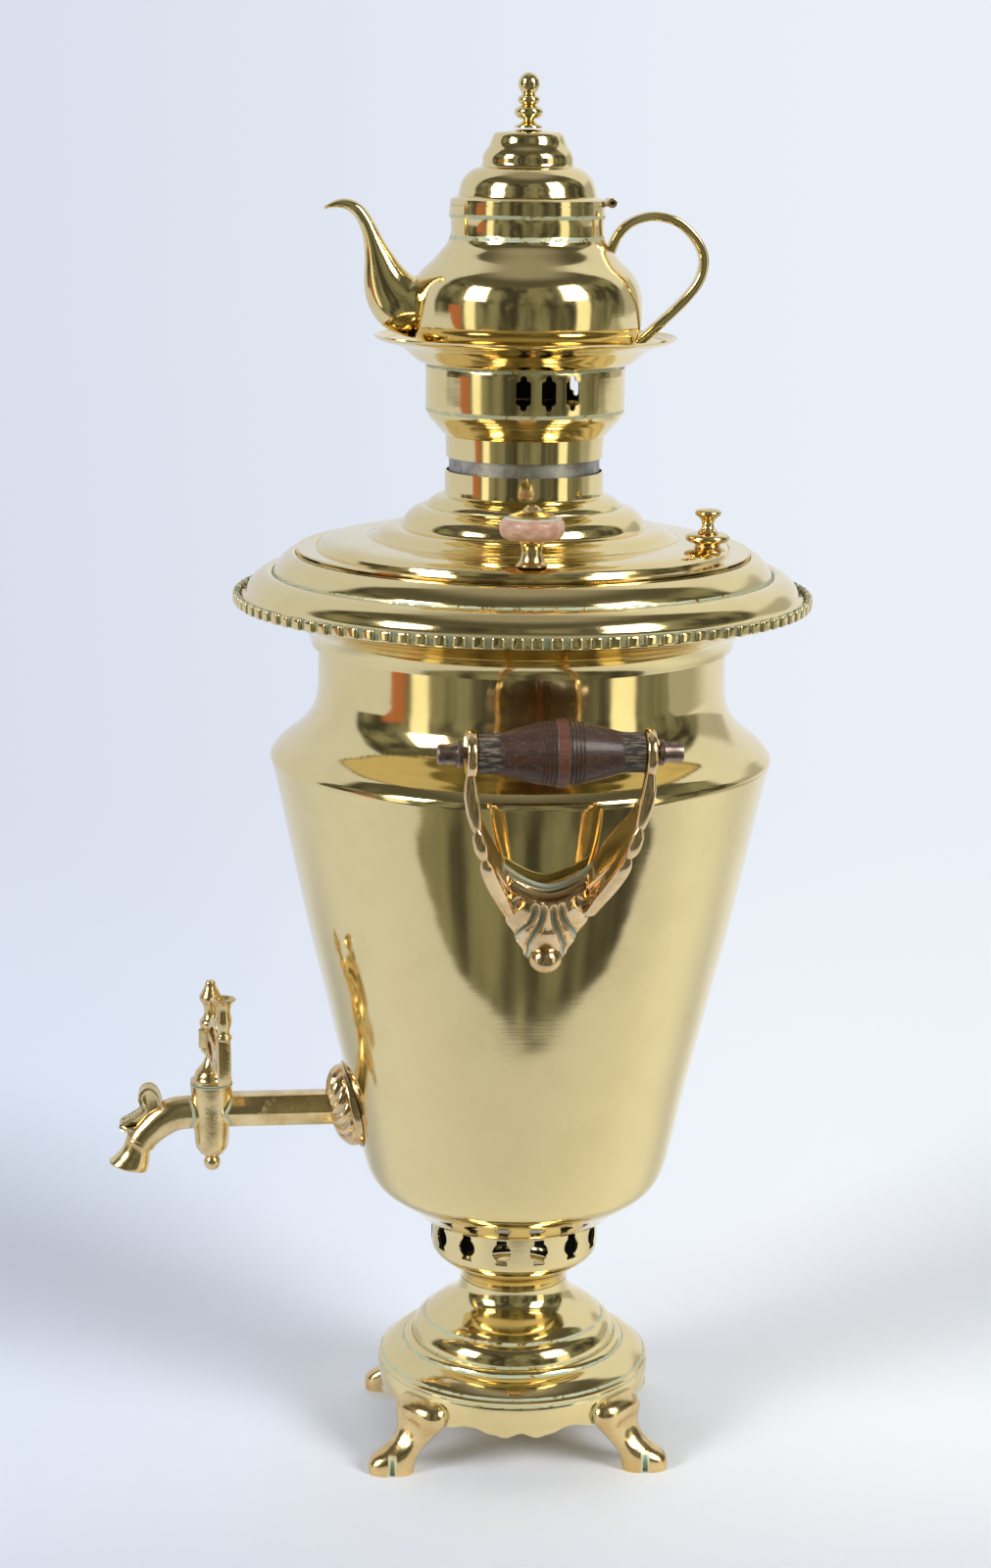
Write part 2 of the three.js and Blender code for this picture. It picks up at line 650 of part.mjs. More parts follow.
function steamKnob() {
  const top = fittingLevel + steamSeatHeight;
  const foot = top + clearance;
  const shares = [[0.75, 0], [0.8, 0.1], [0.45, 0.3], [0.45, 0.45], [0.95, 0.7], [1, 0.85], [0.7, 1], [0, 1]];
  const head = stretch(shares, 0, steamKnobRadius, foot, foot + steamKnobHeight);
  const plugBottom = lidLevel - lidSheet;
  const plug = [[0, plugBottom], [steamPlugRadius, plugBottom], [steamPlugRadius, foot]];
  const knob = revolve([...plug, ...head], smallSteps);
  const upward = disc(2 * steamHoleRadius, plugBottom - overrun, steamPortLevel, tinySteps);
  const sideways = alongX(steamHoleRadius, 0, steamPlugRadius + overrun, steamPortLevel, tinySteps);
  return cut(knob, upward, sideways.rotateZ(Math.PI / 2)).translate(...fitting(steamTurn), 0);
}

addPiece("steam_vent_seat", steamSeat(), castBrass);
addPiece("steam_vent_knob", steamKnob(), castBrass);

// Crown: a sleeve over the fire tube, a slotted drum that lets the smoke out and a dished tray
const crownFlareShares = [[0, 0], [0.46, 0.4], [0.8, 0.64], [1, 1]];
const trayShares = [[0.11, 0.13], [0.42, 0.6], [0.76, 0.91], [1, 1]];
const slotShares = [
  [0.3, -1], [0.5, -0.72], [1, -0.62], [1, 0.62], [0.5, 0.72], [0.3, 1],
];

function crown() {
  const sleeve = tubeTopRadius + clearance + crownSheet;
  const outline = [
    [sleeve, crownShelf - crownSleeve],
    ...stretch(crownFlareShares, sleeve, crownRadius, crownShelf, crownDrumLevel),
    ...stretch([[0, 1], ...trayShares], crownRadius, trayRadius, crownDrumTop, crownDrumTop + trayHeight)
      .map(([r, z], i) => (i ? [r, z] : [r, crownDrumTop])),
  ];
  const innerRadius = crownRadius - crownSheet / 2;
  const shelfInner = tubeTopRadius - tubeLedgeWidth;
  const shelf = ring(shelfInner, sleeve - crownSheet / 2, crownShelf, crownShelf + crownSheet);
  const ledgeInner = crownRadius - crownSheet - trayLedgeWidth;
  const ledge = ring(ledgeInner, innerRadius, crownDrumTop, crownDrumTop + crownSheet);
  const middle = between(crownDrumLevel, crownDrumTop, smokeSlotLevelShare);
  const half = [smokeSlotWidth / 2, smokeSlotHeight / 2];
  const right = slotShares.map(([across, up]) => [half[0] * across, middle + half[1] * up]);
  const left = right.map(([x, z]) => [-x, z]).reverse();
  const length = crownRadius + overrun;
  const slot = plate([...right, ...left], length).translate(0, -length / 2, 0);
  const slots = [];
  for (const group of [0, 1, 2]) {
    for (const place of [-1, 0, 1]) {
      slots.push(slot.clone().rotateZ(smokeTurn + (group * 2 * Math.PI) / 3 + place * smokeSlotPitch));
    }
  }
  return cut(join(spun(outline, crownSheet), shelf, ledge), ...slots);
}

addPiece("crown", crown(), brass);

// Teapot
const potShares = [
  [0.727, 0], [0.803, 0.043], [0.95, 0.14], [1, 0.3], [0.973, 0.493], [0.883, 0.609],
  [0.734, 0.725], [0.662, 0.82], [0.667, 1],
];
const mouthRadius = potRadius * potShares[potShares.length - 1][0];
const potOutline = stretch(potShares, 0, potRadius, potLevel, potTop);
const grownPot = grown(potOutline, potSteps);
const hingeX = mouthRadius + hingeRadius + clearance;
const hingeLevel = potLidLevel + hingeRadius / 2;
const spoutRootLevel = potLevel + potHeight * spoutRootLevelShare;

const knuckle = (radius, from, to) => alongY(radius, from, to, 0, tinySteps).translate(hingeX, 0, hingeLevel);

function hingeLeaf(level, depth, from, to) {
  const leaf = new THREE.BoxGeometry(hingeX - mouthRadius + 2 * potSheet, to - from, depth);
  return leaf.translate((hingeX + mouthRadius) / 2 - potSheet, (from + to) / 2, level);
}

function potShell() {
  const shell = spun([[0, potLevel], ...potOutline], potSheet, potSteps);
  const third = hingeWidth / 6;
  const ears = [-1, 1].flatMap((side) => {
    const [from, to] = side > 0 ? [third, hingeWidth / 2] : [-hingeWidth / 2, -third];
    return [knuckle(hingeRadius, from, to), hingeLeaf(potTop - hingeRadius / 2, hingeRadius, from, to)];
  });
  const strainerPitch = 3 * strainerRadius;
  const strainer = [[0, 0], ...circle(new THREE.Vector3(), xAxis, yAxis, 6).map((p) => [p.x, p.y])]
    .map(([y, z]) => alongX(strainerRadius, -potRadius - overrun, -potRadius / 2, 0, tinySteps)
      .translate(0, y * strainerPitch, spoutRootLevel + z * strainerPitch));
  const lidRoom = disc(mouthRadius - potSheet, potTop - overrun, potTop + overrun, potSteps);
  const pinHole = knuckle(hingePinRadius + clearance, -hingeWidth, hingeWidth);
  return cut(join(shell, ...ears), ...strainer, lidRoom, pinHole);
}

// The spout rises from a broad root and bends outward to a narrow beak
const spoutShares = [
  [-0.22, 0], [0.06, 0.03], [0.28, 0.15], [0.4, 0.4], [0.47, 0.63], [0.58, 0.86], [0.76, 0.99], [1, 0.97],
];
const spoutRadiusShares = [1, 0.98, 0.84, 0.54, 0.37, 0.31, 0.26, 0.22];

function potSpout() {
  const rise = spoutRise - spoutRootRadius;
  const toRoute = ([out, up]) => [-potRadius - spoutReach * out, 0, spoutRootLevel + rise * up];
  const route = spoutShares.map(toRoute);
  const radii = spoutRadiusShares.map((share) => spoutRootRadius * share);
  const outer = sweep(route, radii, tinySteps, yAxis, spoutDepthShare);
  const [tipX, , tipZ] = route.at(-1);
  const lengthened = [...route.slice(0, -1), [tipX - overrun, 0, tipZ]];
  const innerRadii = radii.map((radius) => radius - potSheet);
  const inner = sweep(lengthened, innerRadii, tinySteps, yAxis, spoutDepthShare);
  return cut(outer, inner, grownPot);
}

// The handle is a flat strap bent to an ear shape, with both ends on the pot's wall
const handleShares = [
  [-0.9, 0.62], [-0.62, 0.78], [-0.31, 0.91], [0, 0.97], [0.35, 0.9], [0.7, 0.72], [0.96, 0.56],
  [1, 0.46], [0.86, 0.34], [0.5, 0.24], [0.15, 0.17], [-0.15, 0.13],
];

function potHandle() {
  const toRoute = ([out, up]) => [potRadius + handleReach * out, 0, potLevel + potHeight * up];
  const route = handleShares.map(toRoute);
  const radii = handleShares.map(() => handleThickness / 2);
  return cut(sweep(route, radii, 8, yAxis, handleWidth / handleThickness, 1), grownPot);
}

// Teapot lid: stepped dome with a spun finial, hinged over the handle
const potLidShares = [
  [1, 0], [0.985, 0.08], [0.89, 0.125], [0.83, 0.335], [0.76, 0.455], [0.59, 0.56], [0.5, 0.8],
  [0.445, 0.935], [0.2, 1],
];
const finialShares = [
  [0.95, 0], [0.7, 0.08], [0.35, 0.16], [1, 0.3], [0.35, 0.42],
  [0.75, 0.52], [0.35, 0.62], [0.7, 0.76], [0.6, 0.92], [0, 1],
];

function potLid() {
  const top = potLidLevel + potLidHeight;
  const outline = [...stretch(potLidShares, 0, mouthRadius, potLidLevel, top), [0, top]];
  const dome = spun(outline, potSheet, potSteps);
  const skirtOuter = mouthRadius - potSheet - 2 * clearance;
  const skirtTop = potLidLevel + 2 * potSheet;
  const skirt = ring(skirtOuter - potSheet, skirtOuter, potLidLevel - potLidSkirt, skirtTop, potSteps);
  const third = hingeWidth / 6 - clearance;
  const leaf = hingeLeaf(hingeLevel, hingeRadius, -third, third);
  const room = disc(skirtOuter - potSheet, potLidLevel - overrun, potLidLevel + overrun, potSteps);
  const whole = join(dome, skirt, knuckle(hingeRadius, -third, third), cut(leaf, room));
  return cut(whole, knuckle(hingePinRadius + clearance, -hingeWidth, hingeWidth));
}

function finial() {
  const foot = potLidLevel + potLidHeight + clearance;
  const outline = stretch(finialShares, 0, finialRadius, foot, foot + finialHeight);
  return revolve([[0, foot], ...outline], smallSteps);
}

addPiece("teapot_shell", potShell(), brass);
addPiece("teapot_spout", potSpout(), brass);
addPiece("teapot_handle", potHandle(), brass);
addPiece("teapot_lid", potLid(), brass);
addPiece("teapot_finial", finial(), brass);
addPiece("teapot_hinge_pin", knuckle(hingePinRadius, -hingeWidth / 2, hingeWidth / 2), castBrass);

// Tap: gadrooned rosette against the body, tap casting, key with its plug, and two nuts
const wallAtTap = bodyRadiusAt(tapLevel);
const coneLean = Math.atan2(shoulderRadius - waistRadius, coneHeight);
const rosetteFront = wallAtTap + rosetteHeight / Math.cos(coneLean)
  + pipeAcrossFlats * Math.tan(coneLean) / 2 + clearance;

const rosetteShares = [[1, -0.35], [1, 0.12], [0.9, 0.55], [0.65, 0.88], [0.35, 1]];
const rosetteFluteShare = 0.05;

function rosette() {
  const rings = rosetteShares.map(([across, up], level) => {
    const flute = level === 0 || level === rosetteShares.length - 1 ? 0 : rosetteFluteShare;
    return Array.from({ length: 3 * rosetteLobes }, (_, i) => {
      const angle = (2 * Math.PI * i) / (3 * rosetteLobes);
      const radius = rosetteRadius * across * (1 - flute + flute * Math.cos(rosetteLobes * angle));
      return new THREE.Vector3(radius * Math.cos(angle), radius * Math.sin(angle), rosetteHeight * up);
    });
  });
  const dome = loft(rings).rotateY(-Math.PI / 2 - coneLean).translate(-wallAtTap, 0, tapLevel);
  return cut(dome, grownBody, alongX(shankRadius + clearance, -tapReach, 0, tapLevel));
}

// Outlines of the tap, as shares of the barrel's radius and height from its bottom, or of spout and key
const barrelShares = [
  [0.52, -0.04], [0.72, 0.03], [0.8, 0.13], [0.875, 0.34], [0.875, 0.7], [1, 0.79], [1, 1],
];
const tapSpoutShares = [
  [0.1, 0.02], [0.38, 0.05], [0.58, 0.14], [0.76, 0.36], [0.87, 0.58], [0.945, 0.76], [1, 0.9], [1, 1],
];
const tapSpoutRadiusShares = [0.9, 0.92, 1, 1, 0.93, 0.88, 1.05, 1.05];
const scrollShares = [
  [0.53, 0.2], [0.57, -0.14], [0.6, -0.3], [0.68, -0.41], [0.75, -0.43], [0.81, -0.36], [0.83, -0.22],
  [0.78, -0.12], [0.84, -0.04], [1.0, 0.07], [1.03, 0.14], [0.97, 0.29],
];
const barrelBottomShare = 0.573;
const barrelBottom = tapLevel - barrelHeight * barrelBottomShare;
const barrelTop = barrelBottom + barrelHeight;

function tapBody() {
  const shankEnd = -wallAtTap + tapNutHeight + 2 * bodySheet;
  const shank = alongX(shankRadius, -rosetteFront - overrun, shankEnd, tapLevel);
  const pipe = new THREE.CylinderGeometry(1, 1, tapReach - rosetteFront, 6);
  const hexRadius = pipeAcrossFlats / 2 / Math.cos(Math.PI / 6);
  pipe.scale(hexRadius, 1, hexRadius).rotateZ(Math.PI / 2).rotateX(Math.PI / 6);
  pipe.translate(-(tapReach + rosetteFront) / 2, 0, tapLevel);
  const barrelOutline = stretch(barrelShares, 0, barrelRadius, barrelBottom, barrelTop);
  const barrel = revolve([[0, barrelBottom], ...barrelOutline, [0, barrelTop]], smallSteps);
  const toRoute = ([out, down]) => [-tapReach - tapSpoutReach * out, 0, tapLevel - tapSpoutDrop * down];
  const route = tapSpoutShares.map(toRoute);
  const radii = tapSpoutRadiusShares.map((share) => tapSpoutRadius * share);
  const spout = sweep(route, radii, tinySteps, yAxis, 1, 1);
  const scroll = plate(scrollShares.map(toRoute).map(([x, , z]) => [x, z]), scrollThickness);
  const bore = plugRadius + clearance;
  const plugHole = ring(0, bore, barrelBottom - overrun, barrelTop + overrun, smallSteps);
  const wayIn = alongX(waterwayRadius, -tapReach, 0, tapLevel, tinySteps);
  const wayRoute = [[0, 0], ...tapSpoutShares.slice(1), [1, 1.2]].map(toRoute);
  const wayOut = sweep(wayRoute, wayRoute.map(() => waterwayRadius), tinySteps, yAxis, 1, 1);
  barrel.translate(-tapReach, 0, 0);
  plugHole.translate(-tapReach, 0, 0);
  return cut(join(shank, pipe, barrel, spout, scroll), plugHole, wayIn, wayOut);
}

function tapLockNut() {
  const nut = new THREE.CylinderGeometry(tapNutRadius, tapNutRadius, 2 * tapNutHeight, 6);
  nut.rotateZ(Math.PI / 2).translate(-wallAtTap, 0, tapLevel);
  return cut(common(nut, bodyRoom), alongX(shankRadius + clearance, -tapReach, 0, tapLevel));
}

// A thin tail of the plug reaches down through the barrel's floor to the ball nut
const plugTailShare = 0.4;
const plugTailRadius = plugRadius * plugTailShare;

// The key's finial, ring, squared block and bell stand on the plug; its openwork arm is turned to the front
const keyShares = [
  [1.04, 0], [1.0, 0.03], [0.68, 0.07], [0.4, 0.15], [0.23, 0.23], [0.23, 0.28], [0.45, 0.31], [0.45, 0.335],
  [0.43, 0.36], [0.43, 0.55], [0.3, 0.57], [0.47, 0.595], [0.47, 0.625], [0.23, 0.66], [0.23, 0.74],
  [0.35, 0.79], [0.5, 0.87], [0.17, 1], [0, 1],
];
const armShares = [
  [0.1, 0.34], [0.3, 0.3], [0.48, 0.16], [0.66, 0.2], [0.72, 0.34], [0.86, 0.3], [0.94, 0.14], [1.04, 0.2],
  [1.06, 0.42], [1.0, 0.62], [1.08, 0.82], [1.18, 1], [0.82, 1], [0.92, 0.82], [0.94, 0.68],
  [0.74, 0.76], [0.46, 0.72], [0.1, 0.5],
];
const armHolesShares = [
  [[0.24, 0.4], [0.4, 0.32], [0.54, 0.28], [0.6, 0.36], [0.5, 0.46], [0.3, 0.48]],
  [[0.36, 0.56], [0.54, 0.54], [0.84, 0.46], [0.86, 0.58], [0.7, 0.66], [0.5, 0.64]],
];

function tapKey() {
  const foot = barrelTop + clearance;
  const plugBottom = barrelBottom - clearance - ballNutRadius;
  const head = stretch(keyShares, 0, barrelRadius, foot, foot + keyHeight);
  const plug = [
    [0, plugBottom], [plugTailRadius, plugBottom], [plugTailRadius, barrelBottom],
    [plugRadius, barrelBottom], [plugRadius, foot],
  ];
  const stem = revolve([...plug, ...head], smallSteps);
  const toArm = ([out, up]) => [keyArmReach * out, foot + keyHeight * up];
  const arm = plate(armShares.map(toArm), keyArmThickness, armHolesShares.map((hole) => hole.map(toArm)));
  const wayThrough = alongX(waterwayRadius, -barrelRadius, barrelRadius, tapLevel, tinySteps);
  return cut(join(stem, arm.rotateZ(keyTurn)), wayThrough.rotateZ(Math.PI / 2)).translate(-tapReach, 0, 0);
}

function ballNut() {
  const [, barrelFootShare] = barrelShares[0];
  const middle = barrelBottom - clearance - ballNutRadius + barrelHeight * barrelFootShare;
  const ball = new THREE.SphereGeometry(ballNutRadius, tinySteps, tinySteps / 2).rotateX(Math.PI / 2);
  ball.translate(0, 0, middle);
  const holeRadius = plugTailRadius + clearance;
  const hole = disc(holeRadius, middle - ballNutRadius / 2, middle + 2 * ballNutRadius, tinySteps);
  return cut(ball, hole).translate(-tapReach, 0, 0);
}

addPiece("tap_rosette", rosette(), castBrass);
addPiece("tap_body", tapBody(), castBrass);
addPiece("tap_lock_nut", tapLockNut(), castBrass);
addPiece("tap_key", tapKey(), castBrass);
addPiece("tap_ball_nut", ballNut(), castBrass);

// Handles: a cast shell of seven rays grows into two arms that hold the grip's rod in eyes
const gripLevel = shoulderLevel + gripAboveShoulder;
const eyeMiddle = gripLength / 2 + clearance + eyeWidth / 2;

// A point near the body's front, given sideways, up and off its surface
function offBody(x, z, off) {
  const radius = bodyRadiusAt(z) + off;
  return [x, -Math.sqrt(radius ** 2 - x ** 2), z];
}

// Rays as shares of the shell: how far sideways the outermost tips lie, how high the middle tip stands,
// and the ray's radius at the ball, halfway and at the tip
const rayTipShare = 0.47;
const middleTipShare = 0.78;
const rayRadiusShares = [0.6, 0.8, 0.9];
// Arms as shares of the way from shell to eye: up, outward, and the radius
const armRouteShares = [[0, 0, 1], [0.28, 0.42, 1.25], [0.52, 0.62, 1.4], [0.78, 0.82, 0.85], [1, 1, 0.45]];
const armFootShares = [0.36, 0.45];
const eyeOverlapShare = 0.95;

function handleBracket() {
  const rays = [-1, -2 / 3, -1 / 3, 0, 1 / 3, 2 / 3, 1].map((side) => {
    const tipX = side * shellWidth * rayTipShare;
    const tipZ = shellLevel + shellHeight * between(middleTipShare, 1, side ** 2);
    const route = [0, 0.5, 1].map((share) =>
      offBody(tipX * share, between(shellLevel, tipZ, share), (shellRayRadius * share) / 2));
    return sweep(route, rayRadiusShares.map((share) => shellRayRadius * share), 6, xAxis, 1, 1);
  });
  const [footAcross, footUp] = armFootShares;
  const start = offBody(shellWidth * footAcross, shellLevel + shellHeight * footUp, shellRayRadius);
  const end = [eyeMiddle, -gripOut, gripLevel - eyeRadius * eyeOverlapShare];
  const arms = [-1, 1].map((side) => {
    const points = armRouteShares.map(([up, out]) => [
      side * between(start[0], end[0], (up + out) / 2),
      between(start[1], end[1], out),
      between(start[2], end[2], up),
    ]);
    return sweep(points, armRouteShares.map(([, , share]) => armRadius * share), 8, xAxis, 1, 1);
  });
  const eyes = [-1, 1].map((side) =>
    disc(eyeRadius, -eyeWidth / 2, eyeWidth / 2, smallSteps).rotateY(Math.PI / 2)
      .translate(side * eyeMiddle, -gripOut, gripLevel));
  const [, ballY] = offBody(0, shellLevel, shellRayRadius);
  const ball = new THREE.SphereGeometry(shellBallRadius, tinySteps, tinySteps / 2);
  ball.translate(0, ballY, shellLevel);
  const wall = bodyRadiusAt(shellLevel) - bodySheet;
  const stud = alongY(shellStudRadius, ballY, -wall + 2 * shellNutHeight, shellLevel, tinySteps);
  const rodHole = alongX(rodRadius + clearance, -gripLength, gripLength, gripLevel).translate(0, -gripOut, 0);
  const shell = cut(join(rays[0], ...rays.slice(1), ...arms, ...eyes, ball), grownBody);
  return cut(join(shell, stud), rodHole);
}

function handleNut() {
  const wall = bodyRadiusAt(shellLevel) - bodySheet;
  const nut = new THREE.CylinderGeometry(shellNutRadius, shellNutRadius, 2 * shellNutHeight, 6);
  nut.translate(0, -wall, shellLevel);
  return cut(common(nut, bodyRoom), alongY(shellStudRadius + clearance, -gripOut, 0, shellLevel, tinySteps));
}

// Turned wooden grip with grooves either side of a plain middle band
const gripShares = [
  [0.59, 0], [0.8, 0.14], [0.75, 0.17], [0.88, 0.23], [0.84, 0.26], [0.98, 0.36], [1, 0.4],
  [1, 0.6], [0.98, 0.64], [0.84, 0.74], [0.88, 0.77], [0.75, 0.83], [0.8, 0.86], [0.59, 1],
];

function gripWood() {
  const half = gripLength / 2;
  const bore = rodRadius + clearance;
  const outline = stretch(gripShares, 0, gripRadius, -half, half);
  return revolve([[bore, -half], ...outline, [bore, half]], smallSteps);
}

function gripRod() {
  const inner = eyeMiddle + eyeWidth / 2 + clearance;
  const end = inner + rodCapLength;
  const capShares = [[1, 0], [1, 0.3], [0.75, 0.38], [0.8, 0.7], [0.5, 0.95], [0, 1]];
  const cap = stretch(capShares, 0, rodCollarRadius, inner, end);
  const mirrored = cap.map(([r, z]) => [r, -z]).reverse();
  return revolve([...mirrored, [rodRadius, -inner], [rodRadius, inner], ...cap], tinySteps);
}

for (const [hand, side] of [["front", 1], ["rear", -1]]) {
  const turned = (geometry) => geometry.scale(1, side, 1);
  const onGrip = (geometry) => turned(geometry.rotateY(Math.PI / 2).translate(0, -gripOut, gripLevel));
  addPiece(`handle_bracket_${hand}`, turned(handleBracket()), castBrass);
  addPiece(`handle_nut_${hand}`, turned(handleNut()), castBrass);
  addPiece(`grip_${hand}_wood`, onGrip(gripWood()), wood);
  addPiece(`grip_${hand}_rod`, onGrip(gripRod()), castBrass);
}

// The whole is moved so that the middle of its outer box lies over the origin
samovar.updateMatrixWorld(true);
const bounds = new THREE.Box3().setFromObject(samovar, true);
for (const child of samovar.children) {
  child.position.x -= (bounds.min.x + bounds.max.x) / 2;
  child.position.y -= (bounds.min.y + bounds.max.y) / 2;
}

export default samovar;
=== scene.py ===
# %% [markdown]
# # A brass samovar
# The frame holds the samovar's solids in metres, stacked about one upright axis. Each piece below is
# modelled over its solid, finely enough for polished brass, where every facet would show.

# %% Load the frame
import math
import bmesh
import bpy
from mathutils import Matrix, Vector


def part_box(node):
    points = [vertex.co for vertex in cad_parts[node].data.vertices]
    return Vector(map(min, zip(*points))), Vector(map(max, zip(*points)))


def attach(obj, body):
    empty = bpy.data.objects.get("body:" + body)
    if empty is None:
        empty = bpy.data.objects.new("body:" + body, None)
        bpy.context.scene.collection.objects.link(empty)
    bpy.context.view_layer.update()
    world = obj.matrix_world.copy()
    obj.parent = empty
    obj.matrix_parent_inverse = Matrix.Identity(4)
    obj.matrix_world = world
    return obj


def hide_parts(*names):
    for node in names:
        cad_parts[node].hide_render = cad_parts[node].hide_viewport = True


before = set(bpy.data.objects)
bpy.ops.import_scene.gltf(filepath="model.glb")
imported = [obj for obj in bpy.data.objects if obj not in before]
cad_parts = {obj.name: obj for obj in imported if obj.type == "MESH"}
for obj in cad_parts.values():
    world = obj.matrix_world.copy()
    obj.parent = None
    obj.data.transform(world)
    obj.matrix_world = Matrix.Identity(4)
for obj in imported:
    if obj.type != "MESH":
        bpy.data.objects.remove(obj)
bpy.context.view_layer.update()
MM = 0.001
FULL_TURN = 2 * math.pi


def bottom_of(node):
    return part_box(node)[0].z / MM


def top_of(node):
    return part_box(node)[1].z / MM


def centre_of(node):
    """The middle of a solid's box, in metres."""
    return [(low + high) / 2 for low, high in zip(*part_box(node))]


AXIS = centre_of("top_flange")[0]
print("the samovar's axis stands at x =", round(AXIS, 5))

# %% [markdown]
# The camera comes first, so that each piece can be compared with the photograph as soon as it is made.
# It looks down a little from the front, and leans by a fraction of a degree, as a hand-held camera does.

# %% Camera
CAMERA_TURN = math.radians(-6.5)
CAMERA_DISTANCE = 1.34
CAMERA_HEIGHT = 0.622
LOOKING_DOWN = math.radians(12.6)
TURNED_LEFT = math.radians(0.487)
LEANING = math.radians(0.65)

bpy.ops.object.camera_add(location=(
    AXIS + CAMERA_DISTANCE * math.sin(CAMERA_TURN), -CAMERA_DISTANCE * math.cos(CAMERA_TURN), CAMERA_HEIGHT))
camera = bpy.context.object
heading = Matrix.Rotation(CAMERA_TURN + TURNED_LEFT, 4, "Z")
tilt = Matrix.Rotation(math.pi / 2 - LOOKING_DOWN, 4, "X")
camera.matrix_world = Matrix.Translation(camera.location) @ heading @ tilt @ Matrix.Rotation(LEANING, 4, "Z")
camera.data.sensor_fit = "VERTICAL"
camera.data.sensor_height = 36
camera.data.lens = 67.5
bpy.context.scene.camera = camera
bpy.context.scene.view_settings.view_transform = "Standard"
print("camera at", [round(v, 3) for v in camera.location])

# %% [markdown]
# A finish is a small network of shader nodes. Written out as links it is hard to read, so one class wraps
# a socket and lets it stand in a sum: `1 - mask` then adds the Math node by itself.

# %% Shader sums
class Wire:
    def __init__(self, finish, socket):
        self.finish, self.socket = finish, socket

    def join(self, operation, first, second):
        return self.finish.node("ShaderNodeMath", {"operation": operation}, {0: first, 1: second})

    def __add__(self, other): return self.join("ADD", self, other)
    def __radd__(self, other): return self.join("ADD", other, self)
    def __sub__(self, other): return self.join("SUBTRACT", self, other)
    def __rsub__(self, other): return self.join("SUBTRACT", other, self)
    def __mul__(self, other): return self.join("MULTIPLY", self, other)
    def __rmul__(self, other): return self.join("MULTIPLY", other, self)
    def __truediv__(self, other): return self.join("DIVIDE", self, other)
    def __pow__(self, other): return self.join("POWER", self, other)
    def most(self, other): return self.join("MAXIMUM", self, other)
    def least(self, other): return self.join("MINIMUM", self, other)
    def __abs__(self): return self.finish.node("ShaderNodeMath", {"operation": "ABSOLUTE"}, {0: self})

    def within(self, low, high):
        """0 below low, 1 above high, and a soft rise between them."""
        settings = {"interpolation_type": "SMOOTHSTEP"}
        return self.finish.node("ShaderNodeMapRange", settings,
            {"Value": self, "From Min": low, "From Max": high})

    def band(self, low, high, soft):
        """1 between low and high, and 0 away from them."""
        return self.within(low - soft, low) * (1 - self.within(high, high + soft))


class Finish:
    def __init__(self, name, **constants):
        self.material = bpy.data.materials.new(name)
        self.material.use_nodes = True
        self.tree = self.material.node_tree
        self.surface = self.tree.nodes["Principled BSDF"]
        for socket, value in constants.items():
            self.set(socket.replace("_", " "), value)
        self.place = self.node("ShaderNodeTexCoord", out="Object")
        self.x, self.y, self.z = self.parts(self.place)
        self.radius = self.away_from((AXIS, 0))

    def parts(self, vector):
        """The three numbers of a vector, all from one node."""
        node = self.node("ShaderNodeSeparateXYZ", values={0: vector}).socket.node
        return [Wire(self, output) for output in node.outputs]

    def away_from(self, foot):
        """Distance from an upright line that stands at foot."""
        across, deep = self.x - foot[0], self.y - foot[1]
        return (across * across + deep * deep) ** 0.5

    def node(self, kind, settings={}, values={}, out=0):
        made = self.tree.nodes.new(kind)
        for key, value in settings.items():
            setattr(made, key, value)
        for key, value in values.items():
            if isinstance(value, Wire):
                self.tree.links.new(value.socket, made.inputs[key])
            else:
                made.inputs[key].default_value = value
        return Wire(self, made.outputs[out])

    def set(self, socket, value):
        if isinstance(value, Wire):
            self.tree.links.new(value.socket, self.surface.inputs[socket])
        else:
            self.surface.inputs[socket].default_value = value

    def blend(self, share, first, second):
        values = {0: share, 6: first, 7: second}
        return self.node("ShaderNodeMix", {"data_type": "RGBA"}, values, out=2)

    def noise(self, scale, detail=2, stretch=(1, 1, 1), rough=0.5):
        spot = self.place
        if stretch != (1, 1, 1):
            spot = self.node("ShaderNodeMapping", values={0: self.place, "Scale": stretch})
        values = {"Vector": spot, "Scale": scale, "Detail": detail, "Roughness": rough}
        return self.node("ShaderNodeTexNoise", values=values)

    def ray(self, kind):
        """1 for rays of one kind, such as those that leave the camera."""
        return self.node("ShaderNodeLightPath", out=f"Is {kind} Ray")

    def done(self, colour, roughness, height, distance, strength, metallic=1.0):
        """Links what changes over the surface, with the relief as a bump, and gives the material."""
        relief = {"Height": height, "Distance": distance, "Strength": strength}
        looks = {"Base Color": colour, "Roughness": roughness, "Metallic": metallic,
                 "Normal": self.node("ShaderNodeBump", values=relief)}
        for socket, value in looks.items():
            self.set(socket, value)
        return self.material


print("shader sums ready")

# %% [markdown]
# Old polished brass isn't one flat gold. It has faint cloudy tarnish, fine wiping marks that run round each
# spun piece, and pale green residue where the polishing cloth never reaches. The green is laid in by height
# and radius, because grooves on a spun piece are rings.

# %% Brass
BRASS = (0.86, 0.69, 0.34, 1)
BRASS_TARNISHED = (0.62, 0.45, 0.17, 1)
BRASS_RESIDUE = (0.47, 0.53, 0.39, 1)
SOOT = (0.016, 0.014, 0.012, 1)


